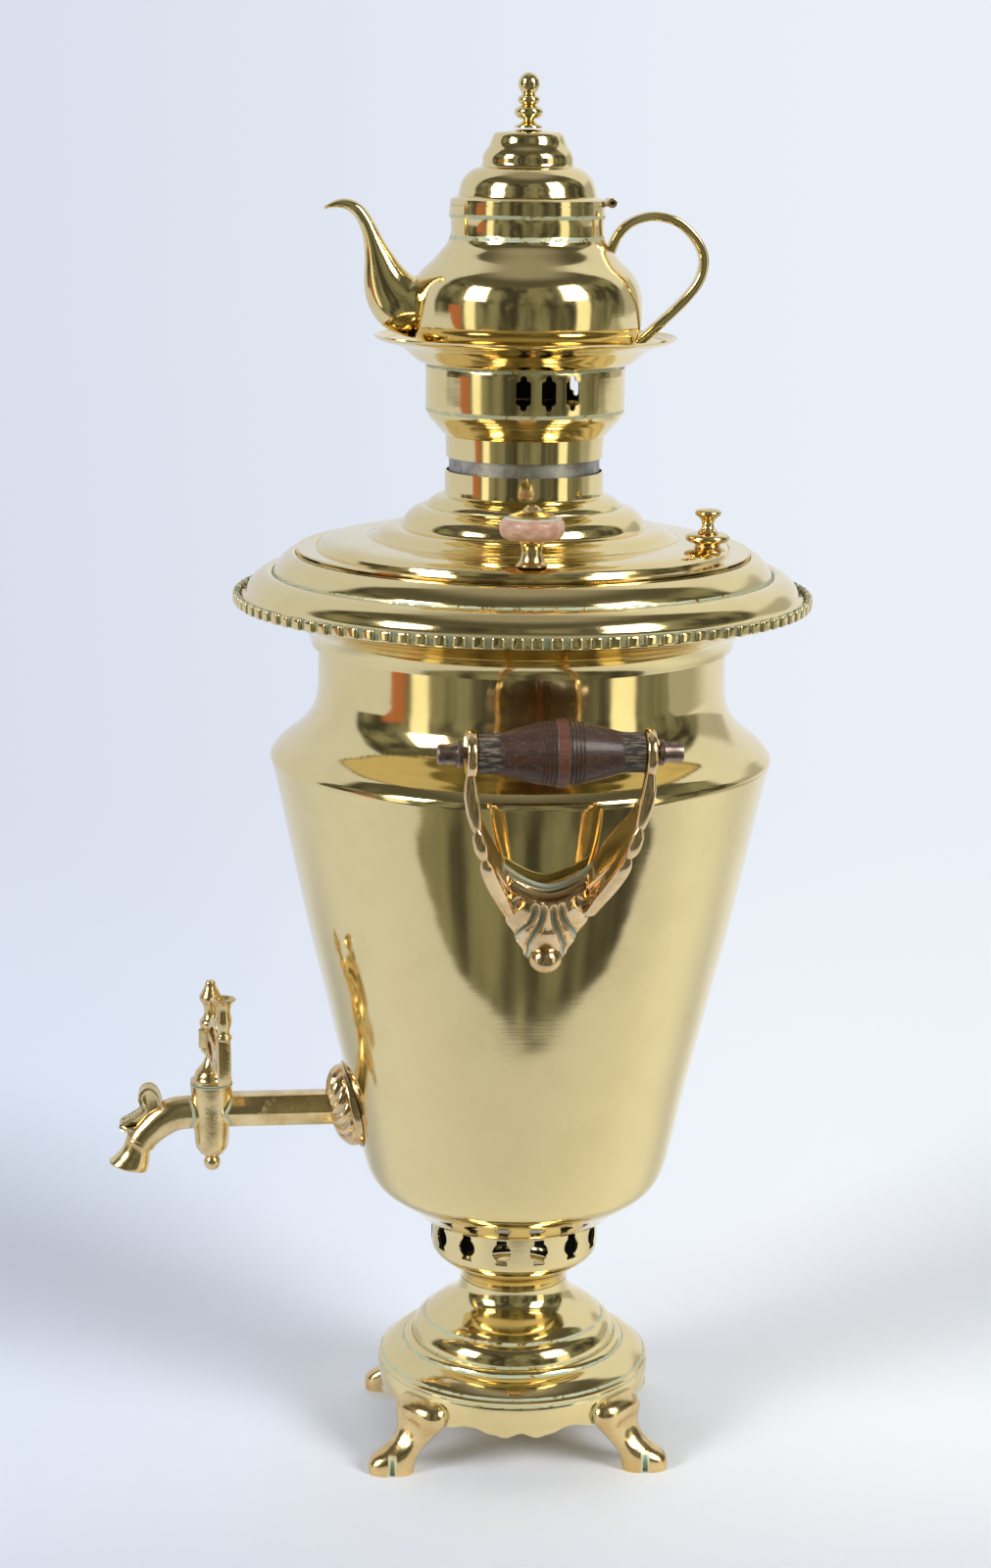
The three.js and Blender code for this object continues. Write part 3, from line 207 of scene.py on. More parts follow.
def polished_brass(name, rings=(), colour=BRASS, rough=0.075, marks=1.0, dirt=BRASS_RESIDUE, soot=None):
    """rings are the (lowest radius, highest radius, lowest height, highest height), in millimetres, of the
    grooves where residue stays. soot is a function that gives the share of soot."""
    finish = Finish(name)
    clouds = finish.noise(38, 4, rough=0.6).within(0.42, 0.75)
    specks = finish.noise(420, 3, rough=0.7).within(0.62, 0.74)
    tarnish = (clouds * 0.16 + specks * 0.22).least(1)
    tone = finish.blend(tarnish, colour, BRASS_TARNISHED)
    wiping = finish.noise(60, 3, (1, 1, 14), 0.7)
    roughness = rough + clouds * 0.03 + specks * 0.08 + wiping * 0.05
    metal = 1
    if rings:
        residue = 0
        for low_r, high_r, low_z, high_z in rings:
            in_radius = finish.radius.band(low_r * MM, high_r * MM, 0.5 * MM)
            residue = (in_radius * finish.z.band(low_z * MM, high_z * MM, 0.4 * MM)).most(residue)
        ragged = finish.noise(240, 4, rough=0.7).within(0.3, 0.62)
        residue = (residue * 1.25 * ragged).least(1)
        tone = finish.blend(residue, tone, dirt)
        roughness = roughness + residue * 0.45
        metal = 1 - residue * 0.85
    if soot:
        black = soot(finish)
        tone = finish.blend(black, tone, SOOT)
        roughness = roughness + black * 0.7
        metal = metal * (1 - black)
    relief = finish.noise(26, 2) * 0.7 + wiping * 0.02 * marks
    return finish.done(tone, roughness, relief, 0.0009, 0.35 * marks, metal)


body_brass = polished_brass("body_brass", rough=0.06)
print("the body's brass:", len(body_brass.node_tree.nodes), "nodes")

# %% [markdown]
# The castings are the same metal poured in sand: redder, a little rougher, and darker in their hollows.

# %% Cast brass
def cast_metal(name, light, dark, scales, green, dirt=BRASS_RESIDUE, rough=(0.14, 0.12, 0.4), worn=0.7,
               relief=(0.12, 0.0006, 0.5)):
    """scales are those of patches and pits, and green(finish, patches, pits) says where residue stays."""
    finish = Finish(name)
    patches = finish.noise(scales[0], 4, rough=0.65)
    pits = finish.noise(scales[1], 3, rough=0.7)
    residue = green(finish, patches, pits).least(1)
    tone = finish.blend(residue, finish.blend(patches.within(0.35, 0.7), light, dark), dirt)
    roughness = rough[0] + patches * rough[1] + residue * rough[2]
    return finish.done(tone, roughness, patches * 0.8 + pits * relief[0], *relief[1:], 1 - residue * worn)


def cast_brass(name, colour=(0.80, 0.61, 0.29, 1), share=0.5, seams=None):
    def green(finish, patches, pits):
        spots = (patches.within(0.58, 0.72) * pits.within(0.4, 0.6) * share).least(1)
        return spots.most(seams(finish) * patches.within(0.2, 0.5)) if seams else spots

    return cast_metal(name, colour, (0.64, 0.44, 0.18, 1), (70, 900), green)


casting = cast_brass("cast_brass")
print("cast brass:", len(casting.node_tree.nodes), "nodes")

# %% [markdown]
# Three more finishes: the grey tinned tube, black iron for the grate, and the pinkish stone of the lid's
# knobs, where polish has left a pale green ring round each cap.

# %% Tin, iron and stone
def tinned():
    finish = Finish("tinned")
    clouds = finish.noise(90, 4, rough=0.7)
    tone = finish.blend(clouds.within(0.35, 0.7), (0.50, 0.49, 0.45, 1), (0.24, 0.22, 0.19, 1))
    return finish.done(tone, 0.3 + clouds * 0.25, clouds, 0.0004, 0.6)


def black_iron():
    finish = Finish("black_iron")
    scale = finish.noise(200, 5, rough=0.7)
    tone = finish.blend(scale.within(0.5, 0.7), (0.03, 0.028, 0.026, 1), (0.12, 0.07, 0.045, 1))
    return finish.done(tone, 0.6 + scale * 0.3, scale, 0.0005, 0.8, metallic=0.6)


def knob_stone(hand, middle, top):
    """middle and top, in metres, say where this knob's cap sits."""
    finish = Finish(f"knob_stone_{hand}", Coat_Weight=0.35, Coat_Roughness=0.12)
    veins = finish.noise(160, 4, (1, 1, 2.2), 0.65)
    grains = finish.noise(900, 3)
    tone = finish.blend(veins.within(0.4, 0.66), (0.56, 0.29, 0.19, 1), (0.70, 0.45, 0.33, 1))
    tone = finish.blend(grains.within(0.6, 0.75) * 0.5, tone, (0.36, 0.17, 0.11, 1))
    round_cap = finish.away_from(middle).band(10.2 * MM, 12 * MM, 0.5 * MM)
    polish = round_cap * finish.z.within(top - 2 * MM, top - 0.8 * MM)
    tone = finish.blend(polish * veins.within(0.25, 0.45), tone, (0.60, 0.70, 0.62, 1))
    return finish.done(tone, 0.38 + grains * 0.2, veins + grains * 0.3, 0.0003, 0.5, metallic=0.0)


tin, iron = tinned(), black_iron()
print("made", tin.name, iron.name)

# %% [markdown]
# Spun brass is made on a lathe, and so are these pieces. One point is drawn along half of the section by
# extruding it again and again, and the drawn line is spun once round the axis. An open line becomes sheet
# metal with a Solidify modifier, whose wall lies inside the outline.

# %% Helpers for turned pieces
WELD = 0.02 * MM


def put_down():
    """Nothing selected, nothing in edit mode."""
    if bpy.context.object and bpy.context.object.mode != "OBJECT":
        bpy.ops.object.mode_set(mode="OBJECT")
    bpy.ops.object.select_all(action="DESELECT")


def pick_up(*objects):
    put_down()
    for thing in objects:
        thing.select_set(True)
    bpy.context.view_layer.objects.active = objects[0]


def read_off(table, value, soft=True):
    """The second number of a table at a value of its first, with soft or straight passages."""
    for (a0, b0), (a1, b1) in zip(table, table[1:]):
        if value <= a1:
            share = max((value - a0) / (a1 - a0), 0)
            return b0 + (b1 - b0) * ((3 - 2 * share) * share * share if soft else share)
    return table[-1][1]


def eased(points, longest=1.4, most=6):
    """Softens an outline with a curve through its points; a point given twice stays a crease."""
    runs, run = [], [Vector(points[0])]
    for before, point in zip(points, points[1:]):
        if before == point:
            runs.append(run)
            run = [Vector(point)]
        else:
            run.append(Vector(point))
    runs.append(run)
    curve = [runs[0][0]]
    for run in runs:
        ends = [2 * run[0] - run[1], *run, 2 * run[-1] - run[-2]] if len(run) > 1 else []
        for a, b, c, d in zip(ends, ends[1:], ends[2:], ends[3:]):
            times = [0]
            for p, q in ((a, b), (b, c), (c, d)):
                times.append(times[-1] + max((q - p).length, 1e-6) ** 0.5)
            steps = max(1, min(most, round((c - b).length / longest)))
            for step in range(1, steps + 1):
                t = times[1] + (times[2] - times[1]) * step / steps
                mix = lambda p, q, i, j: p + (q - p) * ((t - times[i]) / (times[j] - times[i]))
                ab, bc, cd = mix(a, b, 0, 1), mix(b, c, 1, 2), mix(c, d, 2, 3)
                curve.append(mix(mix(ab, bc, 0, 2), mix(bc, cd, 1, 3), 1, 2))
    return [(p[0], p[1]) for p in curve]


def named(piece, name):
    piece.name = piece.data.name = name
    return piece


def draw(name, points):
    """An edit-mode object that holds one drawn line through points."""
    put_down()
    bpy.ops.mesh.primitive_plane_add(size=MM, location=points[0])
    line = named(bpy.context.object, name)
    bpy.ops.object.mode_set(mode="EDIT")
    bpy.ops.mesh.select_all(action="SELECT")
    bpy.ops.mesh.merge(type="CENTER")
    for before, point in zip(points, points[1:]):
        step = tuple(b - a for a, b in zip(before, point))
        bpy.ops.mesh.extrude_region_move(TRANSFORM_OT_translate={"value": step})
    bpy.ops.mesh.select_all(action="SELECT")
    return line


def finished(piece, material, body, node, smooth=35):
    """Places, smooths and dresses a piece, and hides the frame's node that it replaces."""
    pick_up(piece)
    bpy.ops.object.transform_apply(location=True, rotation=True, scale=True)
    bpy.ops.object.shade_smooth_by_angle(angle=math.radians(smooth))
    piece.data.materials.clear()
    piece.data.materials.append(material)
    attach(piece, body)
    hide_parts(node)
    print(piece.name, len(piece.data.polygons), "faces")
    return piece


def choose(piece, wanted):
    """In edit mode, selects only the points whose place is wanted, and gives their numbers and places."""
    bpy.ops.mesh.select_all(action="DESELECT")
    bpy.ops.mesh.select_mode(type="VERT")
    cage = bmesh.from_edit_mesh(piece.data)
    found = [(point.index, piece.matrix_world @ point.co) for point in cage.verts]
    found = [(index, place) for index, place in found if wanted(index, place)]
    cage.verts.ensure_lookup_table()
    for index, _ in found:
        cage.verts[index].select_set(True)
    cage.select_flush(True)
    bmesh.update_edit_mesh(piece.data)
    return found


def shape(piece):
    """Into edit mode, with this piece alone."""
    pick_up(piece)
    bpy.ops.object.mode_set(mode="EDIT")


def outwards():
    """Turns every face of the piece in edit mode outwards, and leaves edit mode."""
    bpy.ops.mesh.select_all(action="SELECT")
    bpy.ops.mesh.normals_make_consistent(inside=False)
    bpy.ops.object.mode_set(mode="OBJECT")


def joined(*pieces):
    pick_up(*pieces)
    bpy.ops.object.join()
    return bpy.context.object


def moved(piece, matrix):
    piece.matrix_world = matrix @ piece.matrix_world
    pick_up(piece)
    bpy.ops.object.transform_apply(location=True, rotation=True, scale=True)
    return piece


def stretched(piece, x, y, z):
    """Scales a primitive about its own middle."""
    shape(piece)
    bpy.ops.transform.resize(value=(x, y, z))
    bpy.ops.object.mode_set(mode="OBJECT")
    return piece


def apply(piece, kind, **settings):
    pick_up(piece)
    modifier = piece.modifiers.new(kind.title(), kind)
    for key, value in settings.items():
        setattr(modifier, key, value)
    bpy.ops.object.modifier_apply(modifier=modifier.name)


def raised(by, outline):
    return [(r, by + z) for r, z in outline]


def turned(name, outline, wall=None, steps=144, centre=(AXIS, 0), closed=False):
    """Spins an outline of (radius, height) in millimetres; wall is the sheet's thickness."""
    points = [(centre[0] + r * MM, centre[1], z * MM) for r, z in outline]
    if closed:
        points.append(points[0])
    piece = draw(name, points)
    bpy.ops.mesh.spin(steps=steps, angle=FULL_TURN, center=(*centre, 0), axis=(0, 0, 1))
    bpy.ops.mesh.select_all(action="SELECT")
    bpy.ops.mesh.remove_doubles(threshold=WELD)
    outwards()
    if wall:
        apply(piece, "SOLIDIFY", thickness=wall * MM, offset=-1, use_even_offset=True)
    return piece


print("ready to turn")

# %% [markdown]
# The body is one tall spun sheet: a bowl, a long cone that bellies out a little, a crisp shoulder and a
# straight throat. Its cone is nearly straight, so the few tenths of a millimetre of belly are what bends
# the reflections, and its measured outline is followed closely.

# %% Water body
BODY_BOTTOM, BODY_TOP = bottom_of("body_shell"), top_of("body_shell")
body_outline = eased([(34, BODY_BOTTOM), (34, BODY_BOTTOM), (44.4, BODY_BOTTOM), (44.4, BODY_BOTTOM),
    (47.1, 114.8), (48.4, 116.1), (50.5, 118), (54.3, 121), (60.8, 125.4), (66.9, 130.4), (70.4, 136),
    (72.4, 142), (74.1, 149), (75.5, 155.5), (80.6, 180), (86.5, 205), (92.1, 229), (97.9, 253),
    (103.1, 277), (108.3, 302), (113.1, 325), (115.4, 334.5), (116.1, 337.2), (116.1, 337.2), (115.8, 339),
    (114.3, 341), (113.1, 342.6), (109.2, 346), (104, 350), (99.3, 355), (95.9, 361), (94.3, 368),
    (94, 376), (94, 376), (94, BODY_TOP)])
body = turned("body_sheet", body_outline, wall=1)
finished(body, body_brass, "samovar_body", "body_shell")

# %% [markdown]
# A hollow moulding covers the throat's edge. It is a ring with a closed section, so its drawn line ends
# where it began, and no wall is added. The lid's seat, a lip, two rolls and a deep groove give it its look.

# %% Top flange
flange_bottom, SEAT = bottom_of("top_flange"), top_of("top_flange")
flange_outline = eased([(94.4, flange_bottom), (94.4, flange_bottom), (97, flange_bottom),
    (97, flange_bottom), (98.2, 394), (101.5, 398.6), (108, 402.3), (115, 404.8), (122, 407),
    (127.5, 408.3), (129.6, 409), (129.6, 409), (130, 410.2), (129.6, 412.6), (128.6, 413.6),
    (128.6, 413.6), (127.2, 414.4), (125.7, 417.4), (123.9, 420), (120.6, 422.6), (117.4, 423.6),
    (115.4, 423.2), (114.4, 422.3), (114.4, 422.3), (113.8, 424.4), (111.6, 427.8), (109.6, 430),
    (107.6, 431.5), (106, 432), (104.4, 431.8), (103.9, 431), (103.9, 431), (103.8, SEAT), (103.8, SEAT),
    (93.2, SEAT), (93.2, SEAT), (93.2, 428.6), (93.2, 428.6), (94.4, 428.6), (94.4, 428.6)], longest=1)
flange = turned("flange_moulding", flange_outline, closed=True)
flange_brass = polished_brass("flange_brass", rings=[(113.6, 115, 421.6, 424), (103.2, 104.2, 429, 431.4)])
finished(flange, flange_brass, "samovar_body", "top_flange")
print("seat at", round(SEAT, 1))

# %% [markdown]
# A string of beads was rolled from one strip and soldered under the moulding. One bead is a block with
# rounded edges. Spin with duplicates sets the rest round the rim, each with its own few dozen faces.

# %% Bead rim
RIM_LOW, RIM_HIGH = (corner.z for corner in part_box("bead_rim"))
RIM_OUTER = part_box("bead_rim")[1].y
BEADS = 100
BEAD_DEEP, BEAD_SHARE = 3.2 * MM, 0.68
rim_level = (RIM_LOW + RIM_HIGH) / 2
bead_width = FULL_TURN * RIM_OUTER / BEADS * BEAD_SHARE
put_down()
bpy.ops.mesh.primitive_cube_add(size=1, location=(AXIS + RIM_OUTER - BEAD_DEEP / 2, 0, rim_level))
rim = named(bpy.context.object, "bead_string")
bpy.ops.object.mode_set(mode="EDIT")
bpy.ops.transform.resize(value=(BEAD_DEEP, bead_width, RIM_HIGH - RIM_LOW))
bpy.ops.mesh.bevel(offset=1.35 * MM, segments=4, affect="EDGES")
bpy.ops.mesh.spin(steps=BEADS, dupli=True, angle=FULL_TURN, center=(AXIS, 0, 0), axis=(0, 0, 1))
bpy.ops.mesh.select_all(action="SELECT")
bpy.ops.mesh.remove_doubles(threshold=WELD)
bpy.ops.object.mode_set(mode="OBJECT")
strip = turned("bead_strip", [
    (130.25, RIM_LOW / MM + 0.3), (131.1, RIM_LOW / MM + 0.5), (131.3, rim_level / MM),
    (131.1, RIM_HIGH / MM - 0.5), (130.25, RIM_HIGH / MM - 0.3)], steps=BEADS, closed=True)
rim = joined(rim, strip)
# The green on the bead rim is darker than plain patina: partly real residue, partly painted shade for the
# dark gaps between the beads.
rim_residue_and_painted_shade = polished_brass(
    "bead_brass_with_painted_shade", rings=[(129, 131.9, 400, 420)], marks=0.5, dirt=(0.27, 0.29, 0.18, 1))
finished(rim, rim_residue_and_painted_shade, "samovar_body", "bead_rim", smooth=60)

# %% [markdown]
# The plinth is a low spun dome with a concave neck. Its apron is scalloped after spinning: the lowest
# rings of points are moved down, each by the height that the scallop has at its place on the circle.

# %% Plinth
PLINTH_TOP = top_of("plinth")
APRON_TURN = math.radians(-2.4)
SCALLOPS = [(0, 25.5), (6.5, 23), (13, 24.5), (20, 27), (24, 27), (31, 25), (45, 24.2)]
plinth_outline = eased([(63.9, 27.6), (64.3, 28.4), (64.9, 31), (65.2, 34), (65.3, 37), (64.9, 38.9),
    (64.9, 38.9), (65.3, 39.7), (65.2, 40.8), (64.5, 41.6), (63.6, 42.2), (63.6, 42.2), (62.6, 43.3),
    (60.5, 45), (57.5, 47), (54.8, 48.1), (52.9, 48.5), (52.9, 48.5), (52.3, 49.9), (51.2, 50.9),
    (50, 51.2), (48.8, 50.8), (48.8, 50.8), (48.6, 53), (47.7, 55.8), (45.6, 58.8), (42.9, 60.8),
    (42.9, 60.8), (39.5, 63.9), (35.5, 66.6), (31.5, 69.2), (28.5, 71.8), (26.6, 74.6), (25.8, 77.4),
    (25.6, PLINTH_TOP)], longest=0.9)


def scallop_height(angle):
    """Height of the apron's edge in millimetres at an angle from a notch, the same in each quarter."""
    return read_off(SCALLOPS, abs((math.degrees(angle) + 45) % 90 - 45))


plinth = turned("plinth_sheet", plinth_outline, steps=180)
shape(plinth)
APRON_RING = plinth_outline[0][1] * MM
choose(plinth, lambda index, place: place.z < APRON_RING + 0.05 * MM)
bpy.ops.mesh.extrude_region_move(TRANSFORM_OT_translate={"value": (0, 0, -0.4 * MM)})
edge = choose(plinth, lambda index, place: place.z < APRON_RING - 0.2 * MM)
for index, place in edge:
    choose(plinth, lambda other, _: other == index)
    turn = math.atan2(place.y, place.x - AXIS) - APRON_TURN
    bpy.ops.transform.translate(value=(0, 0, scallop_height(turn) * MM - place.z))
bpy.ops.object.mode_set(mode="OBJECT")
apply(plinth, "SOLIDIFY", thickness=1.4 * MM, offset=-1, use_even_offset=True)
plinth_brass = polished_brass("plinth_brass", rings=[
    (64.4, 65.3, 38.6, 39.2), (52.1, 53.4, 48.1, 49.3), (48.3, 49.1, 50.4, 51.6), (42.3, 43.6, 60.5, 61.1),
    (63.4, 64.1, 41.9, 42.4)])
finished(plinth, plinth_brass, "samovar_body", "plinth")
print("apron drawn with", len(edge), "points")

# %% [markdown]
# Both the vent drum and the crown are pierced all round. The opening's outline is drawn once and extruded
# to a punch. A copy of it is turned to each place round the axis, and one Boolean cuts them all.

# %% Helpers for pierced pieces
def slab(name, points, push):
    """Draws a closed outline, fills it and extrudes it by push, both in metres."""
    made = draw(name, [*points, points[0]])
    bpy.ops.mesh.remove_doubles(threshold=WELD)
    bpy.ops.mesh.select_all(action="SELECT")
    bpy.ops.mesh.edge_face_add()
    bpy.ops.mesh.extrude_region_move(TRANSFORM_OT_translate={"value": (0, push, 0)})
    outwards()
    bpy.ops.object.transform_apply(location=True)
    return made


def about_axis(matrix, foot=(AXIS, 0)):
    """The same turn or mirroring, about an upright line that stands at foot."""
    away = Matrix.Translation((*foot, 0))
    return away @ matrix @ away.inverted()


def remove(piece):
    pick_up(piece)
    bpy.ops.object.delete()


def punch(name, half_outline, level, near, far, turns):
    """A set of punches: half_outline is (across, up) in millimetres, turns their places round the axis."""
    loop = half_outline + [(-across, up) for across, up in reversed(half_outline) if across]
    corners = [(AXIS + across * MM, -far * MM, (level + up) * MM) for across, up in loop]
    tool = slab(name, corners, (far - near) * MM)
    tools = []
    for turn in turns:
        pick_up(tool)
        bpy.ops.object.duplicate()
        facing = about_axis(Matrix.Rotation(math.radians(turn) + math.pi / 2, 4, "Z"))
        tools.append(moved(bpy.context.object, facing))
    remove(tool)
    return joined(*tools)


def cut_with(piece, tool):
    apply(piece, "BOOLEAN", operation="DIFFERENCE", solver="MANIFOLD", object=tool)
    remove(tool)


print("ready to pierce")

# %% [markdown]
# The vent drum carries the body and lets air in to the fire. Its fourteen vents are narrow slots that
# swell in the middle, cut right through a sheet that is over a millimetre thick, so their edges show.

# %% Vent drum
DRUM_BOTTOM, DRUM_TOP = PLINTH_TOP + 0.3, top_of("vent_drum")
VENTS, VENT_LEVEL, VENT_START = 14, 105.2, -91.9
VENT_HALF = [(2.3, 6.1), (2.5, 3.9), (3.3, 3.3), (4.2, 1.7), (4.5, 0.2), (4.3, -1.4), (3.5, -2.7),
    (2.7, -3.4), (2.4, -3.9), (2.9, -5.7), (2.6, -6.2)]
drum_outline = eased([(25.6, DRUM_BOTTOM), (26.5, 83), (27.9, 85.2), (29.9, 87.2), (32.3, 89.1), (35, 91),
    (37.4, 92.9), (39, 94.9), (39.8, 97), (39.9, 98.4), (39.9, 98.4), (39.9, DRUM_TOP), (39.9, DRUM_TOP),
    (34, DRUM_TOP)], longest=1)
drum = turned("vent_drum_sheet", drum_outline, wall=1.2, steps=112)
vent_turns = [VENT_START + 360 / VENTS * (place + 0.5) for place in range(VENTS)]
cut_with(drum, punch("vent_punch", VENT_HALF, VENT_LEVEL, 30, 46, vent_turns))


def inside_drum(finish):
    """1 on the drum's inner face, which lies above the slope of its bowl and within its wall."""
    over_bowl = (finish.z - 85.8 * MM - (finish.radius - 27.9 * MM) * 0.82).within(-0.2 * MM, 0.2 * MM)
    return over_bowl * (1 - finish.radius.within(38.7 * MM, 38.9 * MM))


drum_brass = polished_brass("drum_brass", rings=[(39.6, 41, 112.9, 114)], soot=inside_drum)
finished(drum, drum_brass, "samovar_body", "vent_drum")

# %% [markdown]
# The fire tube runs from the grate to the crown. Its tinned top shows as a grey band above the lid.

# %% Fire tube
tube_bottom, tube_top = bottom_of("fire_tube"), top_of("fire_tube")
flange_top = tube_bottom + 1.5
tube = turned("fire_tube_sheet", [
    (39.4, tube_bottom), (39.4, flange_top), (37.5, flange_top), (36.2, 230), (34.3, 401), (34.3, tube_top),
    (32.8, tube_top), (32.8, 401), (36, flange_top), (36, tube_bottom)], steps=112, closed=True)
finished(tube, tin, "samovar_body", "fire_tube")

# %% [markdown]
# The lid is the widest spun piece on top: a flat ledge, a broad dome, three rolls with sharp creases
# between them, and a collar. Creases are points given twice in the outline.

# %% Lid
LID_BOTTOM, LID_TOP = SEAT + 0.3, top_of("lid")
lid_outline = eased([(103.5, LID_BOTTOM + 0.8), (94.9, LID_BOTTOM + 0.8), (94.9, LID_BOTTOM + 0.8),
    (94.6, 432), (94.2, 433.6), (93.2, 435), (91.8, 436.1), (89, 437.1), (84, 437.8), (77, 438.2),
    (70.6, 438.4), (70.6, 438.4), (70.2, 438.9), (68.9, 439.3), (67.3, 440.2), (65.3, 441.8), (62.5, 443),
    (59, 443.5), (56, 443.6), (56, 443.6), (55.3, 444.2), (54.2, 446.6), (52.7, 449), (50, 451.2),
    (47, 452.5), (44, 452.9), (44, 452.9), (43.7, 453.6), (42.8, 454.9), (41, 456.4), (38.9, 457.5),
    (36.5, 458), (36.5, 458), (35.6, 458.8), (35.4, 460), (35.4, 460), (35.4, LID_TOP)], longest=1.1)
lid = turned("lid_sheet", lid_outline, wall=0.8, steps=160)
skirt = turned("lid_skirt", [(92.7, 423.2), (91.9, 423.2), (91.9, 434.6), (92.7, 434.6)], steps=160,
    closed=True)
lid = joined(lid, skirt)
lid_brass = polished_brass("lid_brass", rings=[(94.4, 95.4, 430.8, 431.6), (43.4, 44.5, 452.6, 453.6),
    (55.5, 56.6, 443.3, 444.1), (70, 71.4, 438, 438.9)], rough=0.07)
finished(lid, lid_brass, "lid_assembly", "lid")

# %% [markdown]
# Each knob on the lid is a flared stem, a disc of pinkish stone and a small brass cap, all turned about
# the knob's own axis, which is read from the frame.

# %% Lid knobs
knob_brass = cast_brass("knob_brass", (0.84, 0.66, 0.33, 1), 0.8)
STEM_FOOT = 438.1
for hand in ("front", "rear"):
    knob = f"lid_knob_{hand}"
    middle = centre_of(f"{knob}_disc")[:2]
    base, disc_top = bottom_of(f"{knob}_disc"), top_of(f"{knob}_disc")
    screw_top, cap_top = bottom_of(f"{knob}_cap"), top_of(f"{knob}_cap")
    top = base - 0.3
    stem = turned(f"knob_stem_{hand}", eased([*raised(STEM_FOOT,
        [(0, 0), (0, 0), (6.8, 0), (6.8, 0), (6.7, 0.9), (5.6, 1.8), (4.9, 3.4), (4.5, 5.2), (4.5, 7),
        (5, 9), (6, 10.6)]), (7.1, top), (7.1, top), (2, top), (2, top), (2, screw_top), (2, screw_top),
        (0, screw_top)], longest=0.6), steps=48, centre=middle)
    finished(stem, knob_brass, "lid_assembly", f"{knob}_stem")
    wheel = turned(f"knob_disc_{hand}", eased([*raised(base, [(2.3, 0), (2.3, 0), (9.5, 0), (11.8, 0.5),
        (13.4, 1.8), (14, 3.8)]), *raised(disc_top, [(14, -3.4), (13.5, -1.6), (12.4, -0.5), (11, 0),
        (9, -0.3), (8.4, -0.9), (8.4, -0.9), (2.3, -0.9), (2.3, -0.9)])], longest=0.7), steps=64,
        centre=middle, closed=True)
    stone = knob_stone(hand, middle, disc_top * MM)
    finished(wheel, stone, "lid_assembly", f"{knob}_disc")
    button = turned(f"knob_cap_{hand}", eased([*raised(disc_top - 0.6,
        [(0, 0), (0, 0), (9.5, 0), (10.2, 0.4), (10.4, 1), (10, 1.6), (8.8, 2), (8.8, 2), (7.4, 2.4),
        (4.6, 3.4)]), (2.2, cap_top - 0.1), (0, cap_top)], longest=0.6), steps=48, centre=middle)
    finished(button, knob_brass, "lid_assembly", f"{knob}_cap")
print("knobs stand at", [round(v, 4) for v in middle])

# %% [markdown]
# The steam vent is a seat like a small cup, and a spool-shaped knob that turns in it.

# %% Steam vent
vent_middle = centre_of("steam_vent_seat")[:2]
seat_foot, seat_top = bottom_of("steam_vent_seat"), top_of("steam_vent_seat")
vent_seat = turned("steam_seat", eased([*raised(seat_foot, [(3.7, 0), (3.7, 0), (8, 0), (8, 0), (7.6, 0.8),
    (6, 1.6), (5.6, 2.6), (6.4, 3.4), (8.6, 4), (9.8, 4.8), (10, 5.8), (9.5, 6.9)]), (8.4, seat_top),
    (8.4, seat_top), (3.7, seat_top), (3.7, seat_top)], longest=0.6), steps=64, centre=vent_middle,
    closed=True)
finished(vent_seat, knob_brass, "lid_assembly", "steam_vent_seat")
plug_foot, knob_top = bottom_of("steam_vent_knob"), top_of("steam_vent_knob")
vent_knob = turned("steam_knob", eased([
    (0, plug_foot), (0, plug_foot), (3.4, plug_foot), (3.4, plug_foot),
    *raised(seat_top + 0.3, [(3.4, 0), (3.4, 0), (4.6, 0), (4.8, 0.5), (4.2, 1.2), (3.1, 2.2), (2.7, 3.6),
                             (2.8, 4.8), (3.4, 6.2), (4.6, 7.4), (5.7, 8.2), (6, 9), (5.8, 9.8)]),
    (5, knob_top - 0.1), (5, knob_top - 0.1), (3.6, knob_top - 0.6), (0, knob_top - 0.9)],
    longest=0.6), steps=48, centre=vent_middle)
finished(vent_knob, knob_brass, "steam_vent", "steam_vent_knob")

# %% [markdown]
# The crown slips over the fire tube and carries the teapot. Its drum has three groups of three slots with
# stepped, rounded ends, and its tray flares out to a thin lip.

# %% Crown
CROWN_BOTTOM, CROWN_TOP = bottom_of("crown"), top_of("crown")
SLOT_LEVEL, SLOT_START, SLOT_PITCH = 507.9, -83, 14.3
SLOT_HALF = [(0, 7.8), (0.9, 7.5), (1.4, 6.7), (1.5, 5.4), (2.5, 5.2), (3.2, 4.5), (3.25, 4), (3.25, -4),
    (3.2, -4.5), (2.5, -5.2), (1.5, -5.4), (1.4, -6.7), (0.9, -7.5), (0, -7.8)]
crown_outline = eased([(35.6, CROWN_BOTTOM), (35.8, 480), (36.1, 485.6), (36.1, 485.6), (37, 486.3),
    (38.6, 488), (40.5, 490.1), (42.6, 492.5), (44, 494.5), (44.7, 496.2), (45.1, 497.2), (45.1, 497.2),
    (45.2, 498.2), (45.2, 498.2), (45.2, 516.4), (45.2, 516.4), (44.9, 517), (45.3, 517.6), (45.3, 517.6),
    (47.6, 518.2), (50.3, 520), (52.6, 522.1), (55.1, 524.1), (57.9, 525.8), (61.5, 527), (65.2, 527.6),
    (68.3, CROWN_TOP - 0.6), (68.6, CROWN_TOP)], longest=1)
crown = turned("crown_sheet", crown_outline, wall=1, steps=128)
slot_turns = [SLOT_START + group * 120 + place * SLOT_PITCH for group in range(3) for place in (-1, 0, 1)]
cut_with(crown, punch("slot_punch", SLOT_HALF, SLOT_LEVEL, 36, 52, slot_turns))
shelf = turned("crown_shelf", [(32.3, 486.6), (35.2, 486.6), (35.2, 487.6), (32.3, 487.6)], steps=128,
    closed=True)
ledge = turned("tray_ledge", [(33.2, 517.6), (45, 517.6), (45, 518.6), (33.2, 518.6)], steps=128, closed=True)
crown = joined(crown, shelf, ledge)


